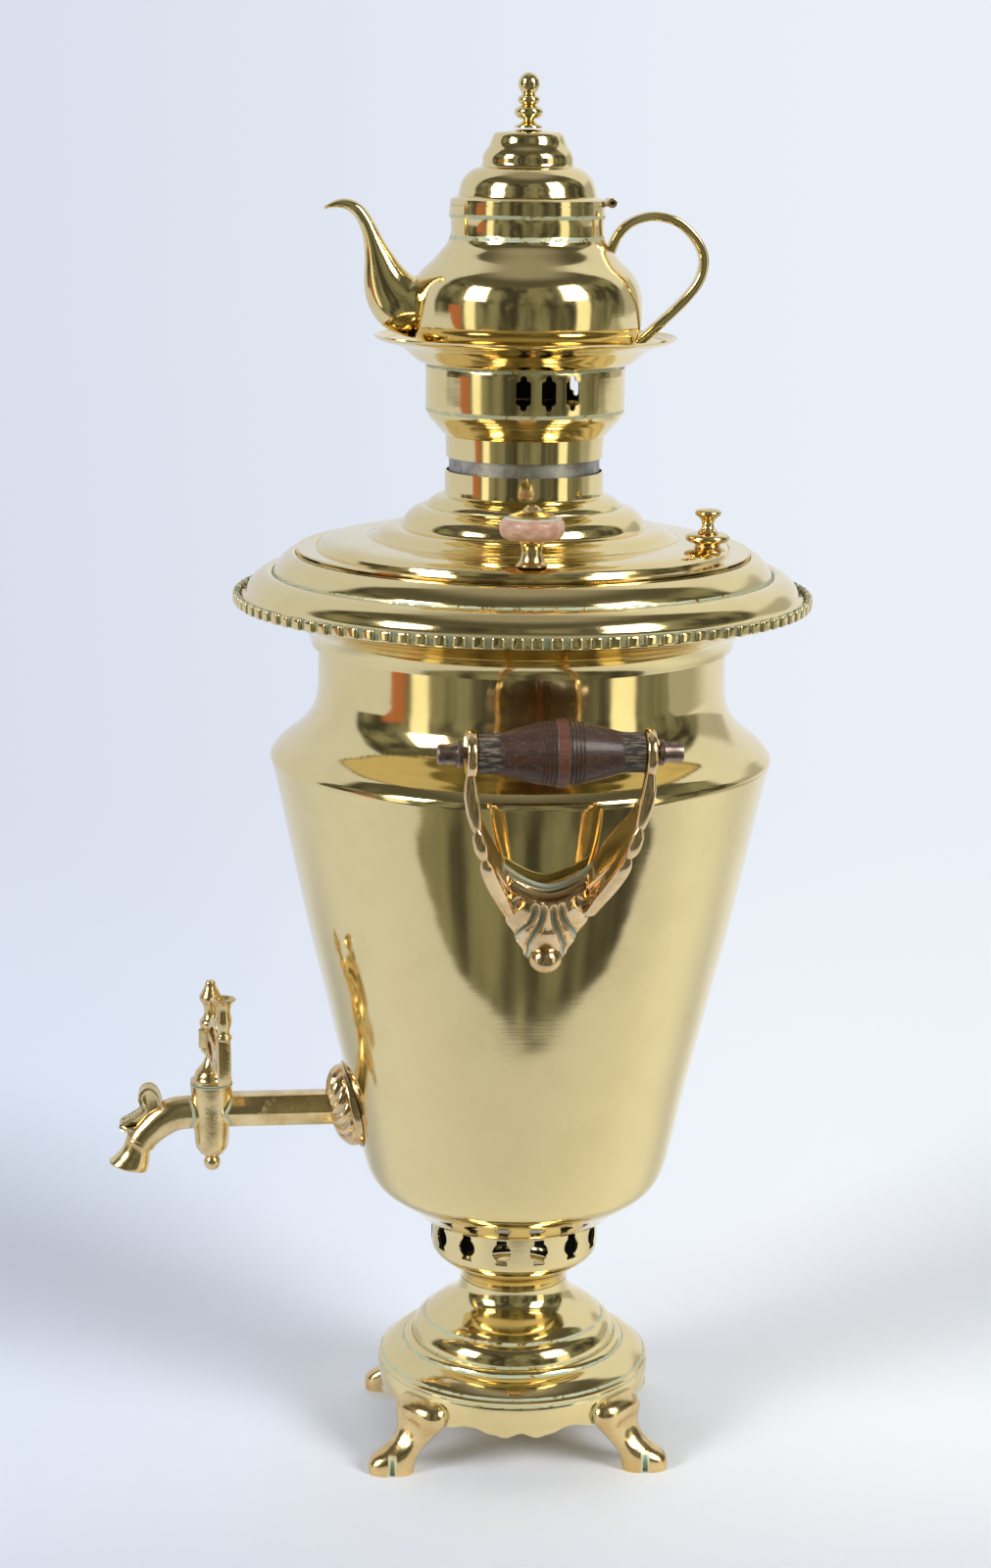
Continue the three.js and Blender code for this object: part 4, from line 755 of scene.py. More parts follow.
def inside_crown(finish):
    """1 on the inner face of the crown's drum."""
    return finish.z.band(498 * MM, 517.4 * MM, 0.3 * MM) * (1 - finish.radius.within(44.2 * MM, 44.4 * MM))


crown_brass = polished_brass("crown_brass", rings=[(44.6, 45.6, 516.6, 517.8), (44.6, 45.5, 496.6, 497.8)],
                             rough=0.08, marks=1.3, soot=inside_crown)
finished(crown, crown_brass, "smoke_crown", "crown")

# %% [markdown]
# The teapot's shell is spun like the body, and a little wavier, because it is thin. Its lid steps up in
# three rings to a small turned finial.

# %% Teapot shell and lid
POT_FOOT = bottom_of("teapot_shell")
POT_LID = bottom_of("teapot_lid") + 5
pot_outline = eased([(0, POT_FOOT), (0, POT_FOOT), (37.4, POT_FOOT), (38.4, 519.2), (42, 521.4),
    (45.4, 523.8), (48, 526.2), (49.9, 528.6), (51.1, 531.4), (51.9, 535), (52.3, 541), (52.2, 547),
    (51.5, 550.4), (50.3, 554), (48.4, 557.4), (46.2, 560), (41.8, 564), (38.4, 568), (36, 570.8),
    (34.9, 573.4), (34.9, 573.4), (34.4, 575), (34.4, 581), (34.9, 583.2), (34.9, 583.2), (34.9, 587.9)],
    longest=1.1)
pot = turned("teapot_sheet", pot_outline, wall=0.8, steps=128)
pot_brass = polished_brass("teapot_brass", rings=[(34, 35.4, 573, 574.6), (34, 35.3, 582.6, 583.8)],
    rough=0.07, marks=1.5)
pot_lid_outline = eased([(34.7, POT_LID), (34.7, POT_LID), (34.6, 590.2), (33.2, 591.2), (31.2, 591.9),
    (31.2, 591.9), (31, 593), (30.6, 594.4), (30.1, 596.6), (29, 599.2), (27.3, 601.4), (25, 603.3),
    (22.8, 604.3), (21, 604.9), (21, 604.9), (20.4, 605.8), (20.3, 608.4), (19.9, 610), (18.8, 612),
    (17.9, 613.2), (17.9, 613.2), (17.1, 614.6), (16.2, 617), (15.4, 618.8), (14.6, 619.5), (10, 620.2),
    (6, 620.9), (0, 621.3)], longest=0.9)
pot_lid = turned("teapot_lid_sheet", pot_lid_outline, wall=0.8, steps=112)
pot_skirt = turned("teapot_lid_skirt", [(33.5, 583.2), (32.7, 583.2), (32.7, 589.6), (33.5, 589.6)],
    steps=112, closed=True)
print("teapot stands at", round(POT_FOOT, 1))

# %% Finial
FINIAL_FOOT, FINIAL_TOP = bottom_of("teapot_finial"), top_of("teapot_finial")
finial = turned("finial_turning", eased([(0, FINIAL_FOOT), (0, FINIAL_FOOT), (6.2, FINIAL_FOOT),
    (6.2, FINIAL_FOOT), (6, 622.6), (4.6, 623.4), (3, 624.2), (2.4, 625.2), (2.4, 625.2), (4.6, 626),
    (6, 627.2), (6.4, 628.6), (5.9, 630), (4.4, 631), (2.9, 631.6), (2.9, 631.6), (4.1, 632.3),
    (4.9, 633.4), (4.8, 634.6), (3.9, 635.6), (2.7, 636.3), (2.7, 636.3), (3.6, 637.4), (4.6, 639.2),
    (4.7, 641), (4.2, 643), (3, 644.7), (1.5, 645.6), (0, FINIAL_TOP)], longest=0.5), steps=48)
finished(finial, pot_brass, "teapot_cover", "teapot_finial")

# %% [markdown]
# Bent pieces such as the spout, the strap handle and the tap change their section along a path. Circles
# are added one after the other at their size and place, pressed to a squarer section where one is wanted,
# and each is bridged to the next.

# %% Helpers for bent pieces
def flowing(stations, steps):
    """Rounds off a list of stations of numbers, with steps new stations from each to the next."""
    mirror = lambda near, far: [2 * a - b for a, b in zip(near, far)]
    ends = [mirror(stations[0], stations[1]), *stations, mirror(stations[-1], stations[-2])]
    flow = [list(stations[0])]
    for four in zip(ends, ends[1:], ends[2:], ends[3:]):
        for step in range(1, steps + 1):
            t = step / steps
            flow.append([(2 * q + (r - p) * t + (2 * p - 5 * q + 4 * r - s) * t ** 2
                + (3 * q - p - 3 * r + s) * t ** 3) / 2 for p, q, r, s in zip(*four)])
    return flow


def skin(name, rings, close=(True, True)):
    """rings are lists of places, each as long as the others: circles whose points are laid out there."""
    sides = len(rings[0])
    put_down()
    for number, ring in enumerate(rings):
        bpy.ops.mesh.primitive_circle_add(vertices=sides, radius=MM)
        if number == 0:
            piece = named(bpy.context.object, name)
            shape(piece)
        cage = bmesh.from_edit_mesh(piece.data)
        cage.verts.ensure_lookup_table()
        for index, place in enumerate(ring, start=number * sides):
            cage.verts[index].co = place
        bmesh.update_edit_mesh(piece.data)
        if number:
            choose(piece, lambda index, _: (number - 1) * sides <= index < (number + 1) * sides)
            bpy.ops.mesh.bridge_edge_loops()
    for wanted, first in zip(close, (0, (len(rings) - 1) * sides)):
        if wanted:
            choose(piece, lambda index, _: first <= index < first + sides)
            bpy.ops.mesh.edge_face_add()
    outwards()
    return piece


def circle(sides, square):
    """Points round a circle; square is 1 for a round section, less for a boxy one and more for a star."""
    turns = [FULL_TURN * place / sides for place in range(sides)]
    press = lambda value: math.copysign(abs(value) ** square, value)
    return [(press(math.cos(turn)), press(math.sin(turn))) for turn in turns]


def skinned(name, stations, side=(0, 1, 0), sides=24, square=1.0, close=(True, True), steps=4):
    """stations are (x, y, z, half width to the side, half thickness) in millimetres from the axis's foot. A
    sixth number is the section's own lean in degrees; without it each stands square to the path."""
    flow = flowing(stations, steps)
    centres = [Vector([value * MM for value in station[:3]]) + Vector((AXIS, 0, 0)) for station in flow]
    rings = []
    for number, (centre, station) in enumerate(zip(centres, flow)):
        before, after = centres[max(number - 1, 0)], centres[min(number + 1, len(centres) - 1)]
        along = (after - before).normalized()
        if len(station) > 5:
            lean = math.radians(station[5])
            along = Vector((-math.sin(lean), 0, -math.cos(lean)))
        across = (Vector(side) - along * along.dot(Vector(side))).normalized()
        deep = along.cross(across)
        wide, thick = station[3] * MM, station[4] * MM
        rings.append([centre + across * u * wide + deep * v * thick for u, v in circle(sides, square)])
    return skin(name, rings, close)


print("ready to bend")

# %% [markdown]
# The teapot's spout rises from a broad root like a swan's neck and narrows to a beak. It is skinned as a
# thin open sheet and gets its wall. Its root runs just through the belly, so that the seam follows it.

# %% Teapot spout
SPOUT = [(-46.4, 0, 542.6, 11.2, 13.8), (-51, 0, 543, 11.3, 14), (-57, 0, 545.4, 10.9, 13.6),
    (-61.4, 0, 550.6, 9.4, 11.9), (-64.3, 0, 557, 7.4, 9.4), (-66.3, 0, 563.4, 5.7, 6.9),
    (-68.4, 0, 569.8, 4.5, 4.8), (-70.4, 0, 575.6, 3.8, 3.7), (-72.8, 0, 580.9, 3.4, 3.2),
    (-75.9, 0, 585.1, 3.2, 3), (-79.8, 0, 587.5, 3, 2.6), (-84, 0, 588, 2.8, 2), (-88, 0, 587.2, 2.3, 1.2),
    (-90.8, 0, 586, 1.7, 0.7)]
spout = skinned("teapot_spout_sheet", SPOUT, sides=28, close=(False, False))
apply(spout, "SOLIDIFY", thickness=0.6 * MM, offset=-1)
finished(spout, pot_brass, "teapot", "teapot_spout")

# %% [markdown]
# The handle is a flat brass strap, bent to an ear and soldered at both ends.

# %% Teapot handle
STRAP = [(37.6, 567.2), (40.3, 573.8), (44.4, 578.9), (50.6, 582.3), (58.9, 583.5), (68.6, 580.7),
    (76.2, 573.8), (80.3, 565.2), (78.9, 556), (73.1, 547.6), (64.9, 539.4), (57.8, 533), (50.6, 526.6)]
strap = skinned("teapot_handle_strap", [(x, 0, z, 4, 2.2) for x, z in STRAP], sides=20, square=0.55, steps=5)
finished(strap, pot_brass, "teapot", "teapot_handle")

# %% [markdown]
# The lid is hinged over the handle: two knuckles belong to the pot and one to the lid, and the pin of the
# frame runs through them.

# %% Teapot hinge
KNUCKLE = 4.4
pin_x, _, pin_z = centre_of("teapot_hinge_pin")


def knuckle(middle):
    """A short tube round the pin, with a leaf that reaches towards the pot's axis."""
    put_down()
    bpy.ops.mesh.primitive_cylinder_add(
        vertices=28, radius=2.2 * MM, depth=KNUCKLE * MM, location=(pin_x, middle * MM, pin_z),
        rotation=(math.pi / 2, 0, 0))
    barrel = bpy.context.object
    apply(barrel, "BEVEL", width=0.35 * MM, segments=3)
    put_down()
    bpy.ops.mesh.primitive_cube_add(
        size=1, location=(pin_x - 1.7 * MM, middle * MM, pin_z - 0.9 * MM),
        scale=(3.4 * MM, KNUCKLE * MM * 0.98, 1.1 * MM))
    leaf = bpy.context.object
    bpy.ops.object.transform_apply(location=True, scale=True)
    apply(leaf, "BEVEL", width=0.3 * MM, segments=2)
    return joined(barrel, leaf)


pot = joined(pot, knuckle(-4.8), knuckle(4.8))
finished(pot, pot_brass, "teapot", "teapot_shell")
pot_lid = joined(pot_lid, pot_skirt, knuckle(0))
finished(pot_lid, pot_brass, "teapot_cover", "teapot_lid")

# %% [markdown]
# The grips are turned hardwood under dark lacquer: two straight tapers, a middle band where the wood shows
# red, and four fine grooves on each side of it. The ends have gone black and are scratched lengthwise.

# %% Wood
GROOVES = [8.4, 6.8, 5.1, 3.3]


def grip_wood():
    finish = Finish("grip_wood", Coat_Weight=0.22, Coat_Roughness=0.18)
    away = abs((finish.x - AXIS) / MM)
    grain = finish.noise(900, 4, (0.12, 1, 1), 0.7)
    streaks = finish.noise(420, 3, (0.05, 1, 1), 0.6)
    scratches = finish.noise(1400, 2, (0.08, 1, 1), 0.5).within(0.62, 0.7)
    wear = finish.noise(180, 4, (0.5, 1, 1), 0.65).within(0.52, 0.7)
    brown = finish.blend(grain.within(0.35, 0.7), (0.034, 0.012, 0.006, 1), (0.088, 0.032, 0.013, 1))
    brown = finish.blend(streaks.within(0.45, 0.7) * 0.6, brown, (0.022, 0.010, 0.008, 1))
    red = finish.blend(grain.within(0.4, 0.7), (0.115, 0.032, 0.018, 1), (0.17, 0.055, 0.032, 1))
    tone = finish.blend(away.within(1.7, 2.1), red, brown)
    ends = away.within(23.5, 27)
    tone = finish.blend(ends, tone, (0.026, 0.017, 0.012, 1))
    rings = away.band(2.0, 2.2, 0.15)
    for groove in GROOVES:
        rings = rings.most(away.band(groove - 0.12, groove + 0.12, 0.2))
    rubbed = finish.noise(1100, 3, (0.12, 1, 1), 0.6).within(0.5, 0.6)
    at_ends = ends * (scratches * 0.75 + wear * 0.2 + rubbed * 0.5)
    bright = (at_ends + scratches * 0.22 + rings * (wear * 0.6 + 0.18)).least(1)
    relief = grain * 0.6 + scratches * 0.4 - streaks * 0.2
    roughness = 0.42 + grain * 0.15 + ends * 0.1 + bright * 0.2
    tone = finish.blend(bright, tone, (0.33, 0.26, 0.18, 1))
    return finish.done(tone, roughness, relief, 0.00035, 0.7, metallic=0.0)


def dark_metal():
    finish = Finish("rod_metal")
    stain = finish.noise(260, 4, rough=0.65)
    tone = finish.blend(stain.within(0.4, 0.65), (0.34, 0.25, 0.19, 1), (0.13, 0.10, 0.085, 1))
    return finish.done(tone, 0.24 + stain * 0.2, stain, 0.0003, 0.5)


wood, rod_metal = grip_wood(), dark_metal()
print("made", wood.name, rod_metal.name)

# %% Grips and rods
GRIP_HALF = [(35, 8.1), (34.6, 8.45), (30, 8.45), (25.6, 8.75), (24.5, 8.95), (19, 10.5), (13.4, 12),
    (9.6, 12.9)]
GROOVE_DEPTH, GROOVE_EDGE = 0.42, 0.12
grip_points = [(3.3, -35), (8.1, -35), *[(radius, -along) for along, radius in GRIP_HALF]]
for groove in GROOVES:
    radius = 14.15 - groove * 0.125
    for sunk, along in ((0, -GROOVE_DEPTH), (GROOVE_DEPTH, -GROOVE_EDGE), (GROOVE_DEPTH, GROOVE_EDGE),
            (0, GROOVE_DEPTH)):
        grip_points.append((radius - sunk, along - groove))
grip_points += [(13.95, -2.2), (14.3, -1.9)]
grip_points += [(radius, -along) for radius, along in reversed(grip_points)]
rod_half = [(3, 41), (5.4, 41), (5.7, 41.4), (5.7, 42.7), (5.2, 43.1), (4.6, 43.2), (4.4, 43.6),
    (4.5, 50.4), (4.2, 51.1), (3.4, 51.4), (0, 51.5)]
rod_points = [(r, -x) for r, x in reversed(rod_half)] + rod_half
for hand in ("front", "rear"):
    place = Matrix.Translation(centre_of(f"grip_{hand}_wood")) @ Matrix.Rotation(math.pi / 2, 4, "Y")
    grip = moved(turned(f"grip_{hand}", grip_points, steps=72, centre=(0, 0), closed=True), place)
    finished(grip, wood, f"{hand}_grip", f"grip_{hand}_wood")
    rod = moved(turned(f"grip_rod_{hand}", rod_points, steps=40, centre=(0, 0)), place)
    finished(rod, rod_metal, f"{hand}_grip", f"grip_{hand}_rod")
print("each grip is drawn with", len(grip_points), "points")

# %% [markdown]
# The plinth stands on four cast hooves. One leg is skinned from flat rings that turn and change their
# section on the way up, from a blunt hoof through a thin ankle to a cap with a ridge. It is trimmed
# where it hugs the skirt, the toe is split, and three mirrored copies stand at the other corners.

# %% Feet
# Each ring's x, y and z, half its width and depth, then its turn, its squareness and the dent in front.
FOOT = [(60.2, -48, 0, 10.4, 6.9, 0, 0.72, 0), (60.2, -48, 1.2, 10.75, 7, 0, 0.72, 0),
    (59.8, -48, 5, 11, 7, 3, 0.76, 0), (58.2, -47.8, 8.4, 10.7, 6.6, 8, 0.9, 0),
    (54.9, -47.4, 11.6, 9.5, 6.3, 16, 1.05, 0.6), (51.6, -47, 15.2, 9.2, 6.3, 26, 1.2, 1.4),
    (49.2, -46.8, 18.8, 10.2, 6.8, 35, 1.3, 2.2), (47.6, -46.8, 22, 12.1, 7.5, 41, 1.3, 2.8),
    (46.6, -46.8, 25.4, 14.2, 8.4, 45, 1.2, 2.8), (46.2, -46.6, 29, 14.9, 8.8, 45, 1.05, 1.4),
    (45.8, -46.2, 32.4, 14.2, 8, 45, 1, 0.2), (45.6, -45.8, 34.8, 12.4, 6.4, 45, 0.95, 0),
    (45.2, -45.2, 36.6, 9.6, 4.6, 45, 0.95, 0), (45, -45, 37.2, 6, 3, 45, 1, 0)]
FOOT_SIDES = 32


def leg():
    """Flat rings from the floor up, each with its own turn, squareness and hollow down its front."""
    rings = []
    for x, y, z, wide, deep, turn, square, dent in flowing(FOOT, 3):
        if z < 0:
            continue
        facing = Matrix.Rotation(math.radians(turn), 3, "Z")
        ring = []
        for place, (u, v) in enumerate(circle(FOOT_SIDES, square)):
            hollow = dent * max(0, -math.sin(FULL_TURN * place / FOOT_SIDES)) ** 7
            point = facing @ Vector((wide * u, deep * v + hollow, 0)) + Vector((x, y, z))
            ring.append(point * MM + Vector((AXIS, 0, 0)))
        rings.append(ring)
    return skin("foot", rings)


foot = leg()
skirt_core = turned("skirt_core", [(0, 23.9), (64.3, 23.9), (64.6, 28), *plinth_outline[4:],
    (0, PLINTH_TOP)], steps=120)
cut_with(foot, skirt_core)
put_down()
bpy.ops.mesh.primitive_cylinder_add(vertices=16, radius=1.25 * MM, depth=14 * MM,
    location=(AXIS + 59.9 * MM, -55.4 * MM, 4.2 * MM), rotation=(0.14, 0, 0))
cut_with(foot, stretched(bpy.context.object, 1, 2.3, 1))


def foot_finish(name, x_sign, y_sign):
    cos, sin = math.cos(APRON_TURN), math.sin(APRON_TURN)

    def green(finish, patches, pits):
        """The cleft of this hoof, and the seam where its leg hugs the skirt."""
        across = finish.x - AXIS
        side = across * (cos * x_sign) + finish.y * (sin * x_sign)
        ahead = finish.y * (-cos * y_sign) + across * (sin * y_sign)
        split = side.band(58.2 * MM, 61.4 * MM, 0.7 * MM) * ahead.band(50.5 * MM, 60 * MM, 1.5 * MM)
        split = split * finish.z.band(-9 * MM, 8 * MM, 3 * MM)
        seam = finish.radius.band(60 * MM, 65.7 * MM, 0.9 * MM) * finish.z.band(24 * MM, 40 * MM, 2 * MM)
        return split.most(seam) * patches.within(0.2, 0.6) * 1.1

    return cast_metal(name, (0.84, 0.63, 0.31, 1), (0.70, 0.48, 0.20, 1), (70, 700), green,
                      rough=(0.13, 0.1, 0.45), worn=0.85, relief=(0.1, 0.0006, 0.5))


CORNERS = [(f"{depth}_{hand}", x_sign, y_sign) for depth, y_sign in (("front", 1), ("rear", -1))
           for hand, x_sign in (("right", 1), ("left", -1))]
for corner, x_sign, y_sign in CORNERS:
    pick_up(foot)
    bpy.ops.object.duplicate()
    hoof = named(bpy.context.object, f"hoof_{corner}")
    turn = Matrix.Rotation(APRON_TURN, 4, "Z")
    moved(hoof, about_axis(turn @ Matrix.Diagonal((x_sign, y_sign, 1, 1))))
    shape(hoof)
    outwards()
    hoof_brass = foot_finish(f"hoof_brass_{corner}", x_sign, y_sign)
    finished(hoof, hoof_brass, "samovar_body", f"foot_{corner}")
remove(foot)

# %% [markdown]
# Each side handle is one casting: a shell of rays over a ball, two arms built of three leaves each, and
# two eyes for the grip's rod. The shell starts as a flat grid. Its points are laid over the cone by their
# place across and up, raised to rays and sunk to the grooves between them, which keep green residue.

# %% Handle brackets
WALL = [(z, r) for r, z in body_outline if z > BODY_BOTTOM]


def body_radius(level):
    """Radius of the body's sheet at a height, both in millimetres."""
    return read_off(WALL, level, soft=False)


SHELL_LOW, SHELL_RIM, SHELL_HORN = 264.5, 304, 10
SHELL_WIDTH = [(0, 5), (0.13, 9.5), (0.285, 13.4), (0.467, 18), (0.6, 19), (1, 20.5)]
SHELL_RISE = [(0, 3), (0.2, 6.6), (0.45, 9.4), (0.68, 11.2), (0.78, 10.4), (0.88, 5.6), (0.93, 4),
    (0.965, 5), (1, 4.2)]
SHELL_GROOVES = [[(0.08, 0.9), (0.24, 0.61), (0.52, 0.19), (0.82, 0.1), (1, 0.1)],
                 [(0.26, 1.05), (0.3, 0.95), (0.54, 0.39), (0.85, 0.27), (1, 0.25)],
                 [(0.48, 1.05), (0.63, 0.8), (0.82, 0.58), (1, 0.6)]]
SHELL_LINES = [flowing(line, 8) for line in SHELL_GROOVES]
SHELL_LIP = [(0.9, 0), (0.94, 0.85), (0.98, 0.9)]


def shell_place(across, up):
    """Place on the shell, and how deep in a groove it is."""
    out = abs(across)
    level = SHELL_LOW + up * (SHELL_RIM + SHELL_HORN * out ** 1.7 - SHELL_LOW)
    half_width = read_off(SHELL_WIDTH, up)
    started = [line for line in SHELL_LINES if up >= line[0][0]]
    nearest = min([1, *(abs(out - read_off(line, up, soft=False)) for line in started)]) * half_width
    fade = read_off([(0.66, 1), (0.82, 0)], up)
    swell = 1 - fade * (1 - min(nearest / 2.6, 1)) ** 1.6
    rise = 0.9 + read_off(SHELL_RISE, up) * (1 - 0.5 * out ** 2.2) * (0.55 + 0.45 * swell)
    x, radius = across * half_width, body_radius(level) + rise
    depth = max(0, 1 - nearest / 1.5) * fade + read_off(SHELL_LIP, up)
    return Vector((x, -math.sqrt(radius ** 2 - x ** 2), level)), depth


def handle_shell():
    put_down()
    bpy.ops.mesh.primitive_grid_add(x_subdivisions=150, y_subdivisions=96, size=2)
    made = bpy.context.object
    hollow = made.data.attributes.new("hollow", "FLOAT", "POINT")
    for point in made.data.vertices:
        place, depth = shell_place(point.co.x, (point.co.y + 1) / 2)
        point.co = place * MM + Vector((AXIS, 0, 0))
        hollow.data[point.index].value = depth
    apply(made, "SOLIDIFY", thickness=0.8 * MM, offset=1 if made.data.polygons[0].normal.y > 0 else -1)
    return made


ARM = [(37.5, -147.2, 359.6, 1.5, 3.2), (35.7, -143.8, 346, 1.6, 4.2), (32.6, -138.6, 332, 1.7, 5.2),
    (28.2, -131.5, 318, 1.9, 6), (22.6, -122.5, 304, 2.2, 5), (17, -113.5, 292.5, 2.6, 4)]
WEB = [(34.6, -139.5, 345, 0.8, 3), (31.8, -134, 334, 1.1, 6), (27.2, -125, 323, 1.3, 8),
    (22.6, -117.5, 314, 1.6, 7), (18, -111, 304, 2, 5)]
LEAVES = [[(37.7, -150.2, 360.4, 1.8, 1.2), (37.4, -149.8, 354, 2.9, 2), (36.2, -147.9, 345, 3.1, 2.2),
    (34.6, -145.3, 337, 2.3, 1.8), (33.8, -143.9, 333.4, 0.9, 0.8)],
    [(34.4, -146, 336, 0.9, 0.7), (33.7, -145.4, 332.6, 2.5, 1.9), (32, -143, 326, 2.8, 2.3),
    (30.2, -140, 320.8, 0.9, 0.8)], [(30.8, -141.4, 323, 0.9, 0.7), (29.4, -138.9, 317.5, 2.8, 2.1),
    (26, -132.8, 309.5, 3.3, 2.6), (21.6, -125.6, 300.8, 3, 2.5), (17.6, -119, 292.6, 2.4, 2)]]


def bracket():
    """The front handle's casting."""
    parts = [handle_shell()]
    for hand in (-1, 1):
        for number, line in enumerate([ARM, WEB, *LEAVES]):
            stations = [(hand * x, y, z, wide, deep) for x, y, z, wide, deep in line]
            square = 0.8 if number > 1 else 0.6
            parts.append(skinned(f"arm_{number}", stations, side=(1, 0, 0), sides=20, square=square))
        eye = turned("eye", eased([(3.4, -2.1), (3.4, -2.1), (8.6, -2.2), (9.7, -1.8), (10.2, 0),
            (9.7, 1.8), (8.6, 2.2), (3.4, 2.1), (3.4, 2.1)], longest=0.5), steps=56, centre=(0, 0),
            closed=True)
        parts.append(moved(eye, Matrix.Translation((AXIS + hand * 37.4 * MM, -148 * MM, GRIP_LEVEL))
                           @ Matrix.Rotation(math.pi / 2, 4, "Y")))
    put_down()
    bpy.ops.mesh.primitive_uv_sphere_add(segments=40, ring_count=24, radius=7.3 * MM, location=(
        AXIS, -(body_radius(268.5) + 5.2) * MM, 268.6 * MM))
    parts.append(stretched(bpy.context.object, 1, 0.92, 0.86))
    return joined(*parts)


def hollows(finish):
    """How deep in a groove a point lies, as the piece's own attribute says."""
    return finish.node("ShaderNodeAttribute", {"attribute_name": "hollow"}, out="Fac")


def bracket_green(finish, patches, pits):
    in_grooves = hollows(finish).within(0.2, 0.6) * patches.within(0.15, 0.5)
    return in_grooves + patches.within(0.66, 0.76) * 0.3


GRIP_LEVEL = centre_of("grip_front_wood")[2]
front_bracket = named(bracket(), "bracket_front")
# Its origin goes to the world's, so that the copy is mirrored to the other side of the body.
moved(front_bracket, Matrix())
bpy.ops.object.duplicate()
rear_bracket = named(moved(bpy.context.object, Matrix.Diagonal((1, -1, 1, 1))), "bracket_rear")
shape(rear_bracket)
bpy.ops.mesh.select_all(action="SELECT")
bpy.ops.mesh.flip_normals()
bpy.ops.object.mode_set(mode="OBJECT")
bracket_brass = cast_metal(
    "bracket_brass", (0.84, 0.62, 0.34, 1), (0.68, 0.46, 0.23, 1), (80, 800), bracket_green,
    dirt=(0.55, 0.60, 0.50, 1), rough=(0.12, 0.1, 0.4), worn=0.8, relief=(0.1, 0.0005, 0.45))
finished(front_bracket, bracket_brass, "samovar_body", "handle_bracket_front", smooth=50)
finished(rear_bracket, bracket_brass, "samovar_body", "handle_bracket_rear", smooth=50)
print("grip level", round(GRIP_LEVEL, 4))

# %% [markdown]
# The tap is the finest casting. A rosette of twisted gadroons hides its hole, a six-sided pipe leads to
# the barrel, and a curved spout ends in a flared mouth under a scroll. The rosette is half a sphere whose
# points are swelled to lobes that turn as they climb.

# %% Rosette
TAP_LEVEL = 166.6
LEAN = math.atan2(40.9, 181.5)
wall_at_tap = body_radius(TAP_LEVEL)
LOBES = 14


def rosette():
    put_down()
    bpy.ops.mesh.primitive_uv_sphere_add(segments=168, ring_count=44, radius=1)
    made = named(bpy.context.object, "tap_rosette_dome")
    shape(made)
    bpy.ops.mesh.select_all(action="SELECT")
    bpy.ops.mesh.bisect(plane_co=(0, 0, -0.02), plane_no=(0, 0, 1), clear_inner=True, use_fill=True)
    bpy.ops.object.mode_set(mode="OBJECT")
    hollow = made.data.attributes.new("hollow", "FLOAT", "POINT")
    for point in made.data.vertices:
        climb = math.asin(max(-1, min(1, point.co.z)))
        rise = climb / (math.pi / 2)
        around = math.atan2(point.co.y, point.co.x)
        swell = math.sin(math.pi * min(1, rise * 1.12)) ** 0.8 if 0 < rise < 0.892 else 0
        lobe = abs(math.cos(LOBES / 2 * (around + 0.75 * rise)))
        radius = 19.8 * math.cos(climb) ** 0.78 * (1 - 0.07 * (1 - lobe) * (rise < 0.86))
        height = -7
        if rise >= 0:
            height = 2.2 + 9.4 * math.sin(climb) ** 0.95 - 2.9 * swell * (1 - lobe) ** 1.2
        point.co = Vector((radius * math.cos(around), radius * math.sin(around), height)) * MM
        hollow.data[point.index].value = swell * (1 - lobe) ** 2
    return made


rosette_place = (
    Matrix.Translation((AXIS - wall_at_tap * MM, 0, TAP_LEVEL * MM))
    @ Matrix.Rotation(-math.pi / 2 - LEAN, 4, "Y") @ Matrix.Translation((1.4 * MM, 0, 0)))
dome = moved(rosette(), rosette_place)
back_plate = moved(turned("rosette_plate", eased([(0, -7), (0, -7), (21.2, -7), (21.2, -7), (21.2, 0.6),
    (21, 1), (20.6, 1.1), (20.6, 1.1), (19.4, 1.6), (18.4, 2.6), (17.8, 3.8), (17.8, 3.8), (0, 3.8),
    (0, 3.8)], longest=0.6), steps=96, centre=(0, 0)), rosette_place)
body_outside = [(0, 120), *[(r + 0.3, z) for r, z in body_outline if 125 < z < 230], (0, 232)]
for part in (dome, back_plate):
    cut_with(part, turned("body_core", body_outside, steps=144))
dome = joined(dome, back_plate)
finished(dome, bracket_brass, "samovar_body", "tap_rosette", smooth=50)

# %% Tap body
PLUG_OUT = 144.8
PLUG = (AXIS - PLUG_OUT * MM, 0)
pipe_start, pipe_end = wall_at_tap + 4, 140
put_down()
bpy.ops.mesh.primitive_cylinder_add(
    vertices=6, radius=7.5 / math.cos(math.pi / 6) * MM, depth=(pipe_end - pipe_start) * MM,
    location=(AXIS - (pipe_start + pipe_end) / 2 * MM, 0, TAP_LEVEL * MM), rotation=(0, math.pi / 2, 0))
pipe = bpy.context.object
apply(pipe, "BEVEL", width=0.6 * MM, segments=3)
barrel = turned("tap_barrel", eased([(0, 144.6), (0, 144.6), (4.6, 144.6), (5.4, 145.2), (6.2, 146.4),
    (6.9, 147.4), (7.3, 147.8), (7.3, 147.8), (7.8, 150), (8.2, 154), (8.5, 159), (8.8, 164), (9.2, 170),
    (9.7, 175), (10, 179.2), (10, 179.9), (10, 179.9), (0, 180), (0, 180)], longest=0.8), steps=64,
    centre=PLUG)
TAP_SPOUT = [(-150, 0, 165.4, 6.6, 7.9), (-156, 0, 165.4, 6.6, 8), (-162.6, 0, 164.5, 6.6, 8.1),
    (-168.4, 0, 161.5, 6.5, 7.9), (-173.2, 0, 157.6, 6.6, 7.4), (-176.9, 0, 153.8, 6.8, 7.2),
    (-178.7, 0, 151, 7, 7.2)]
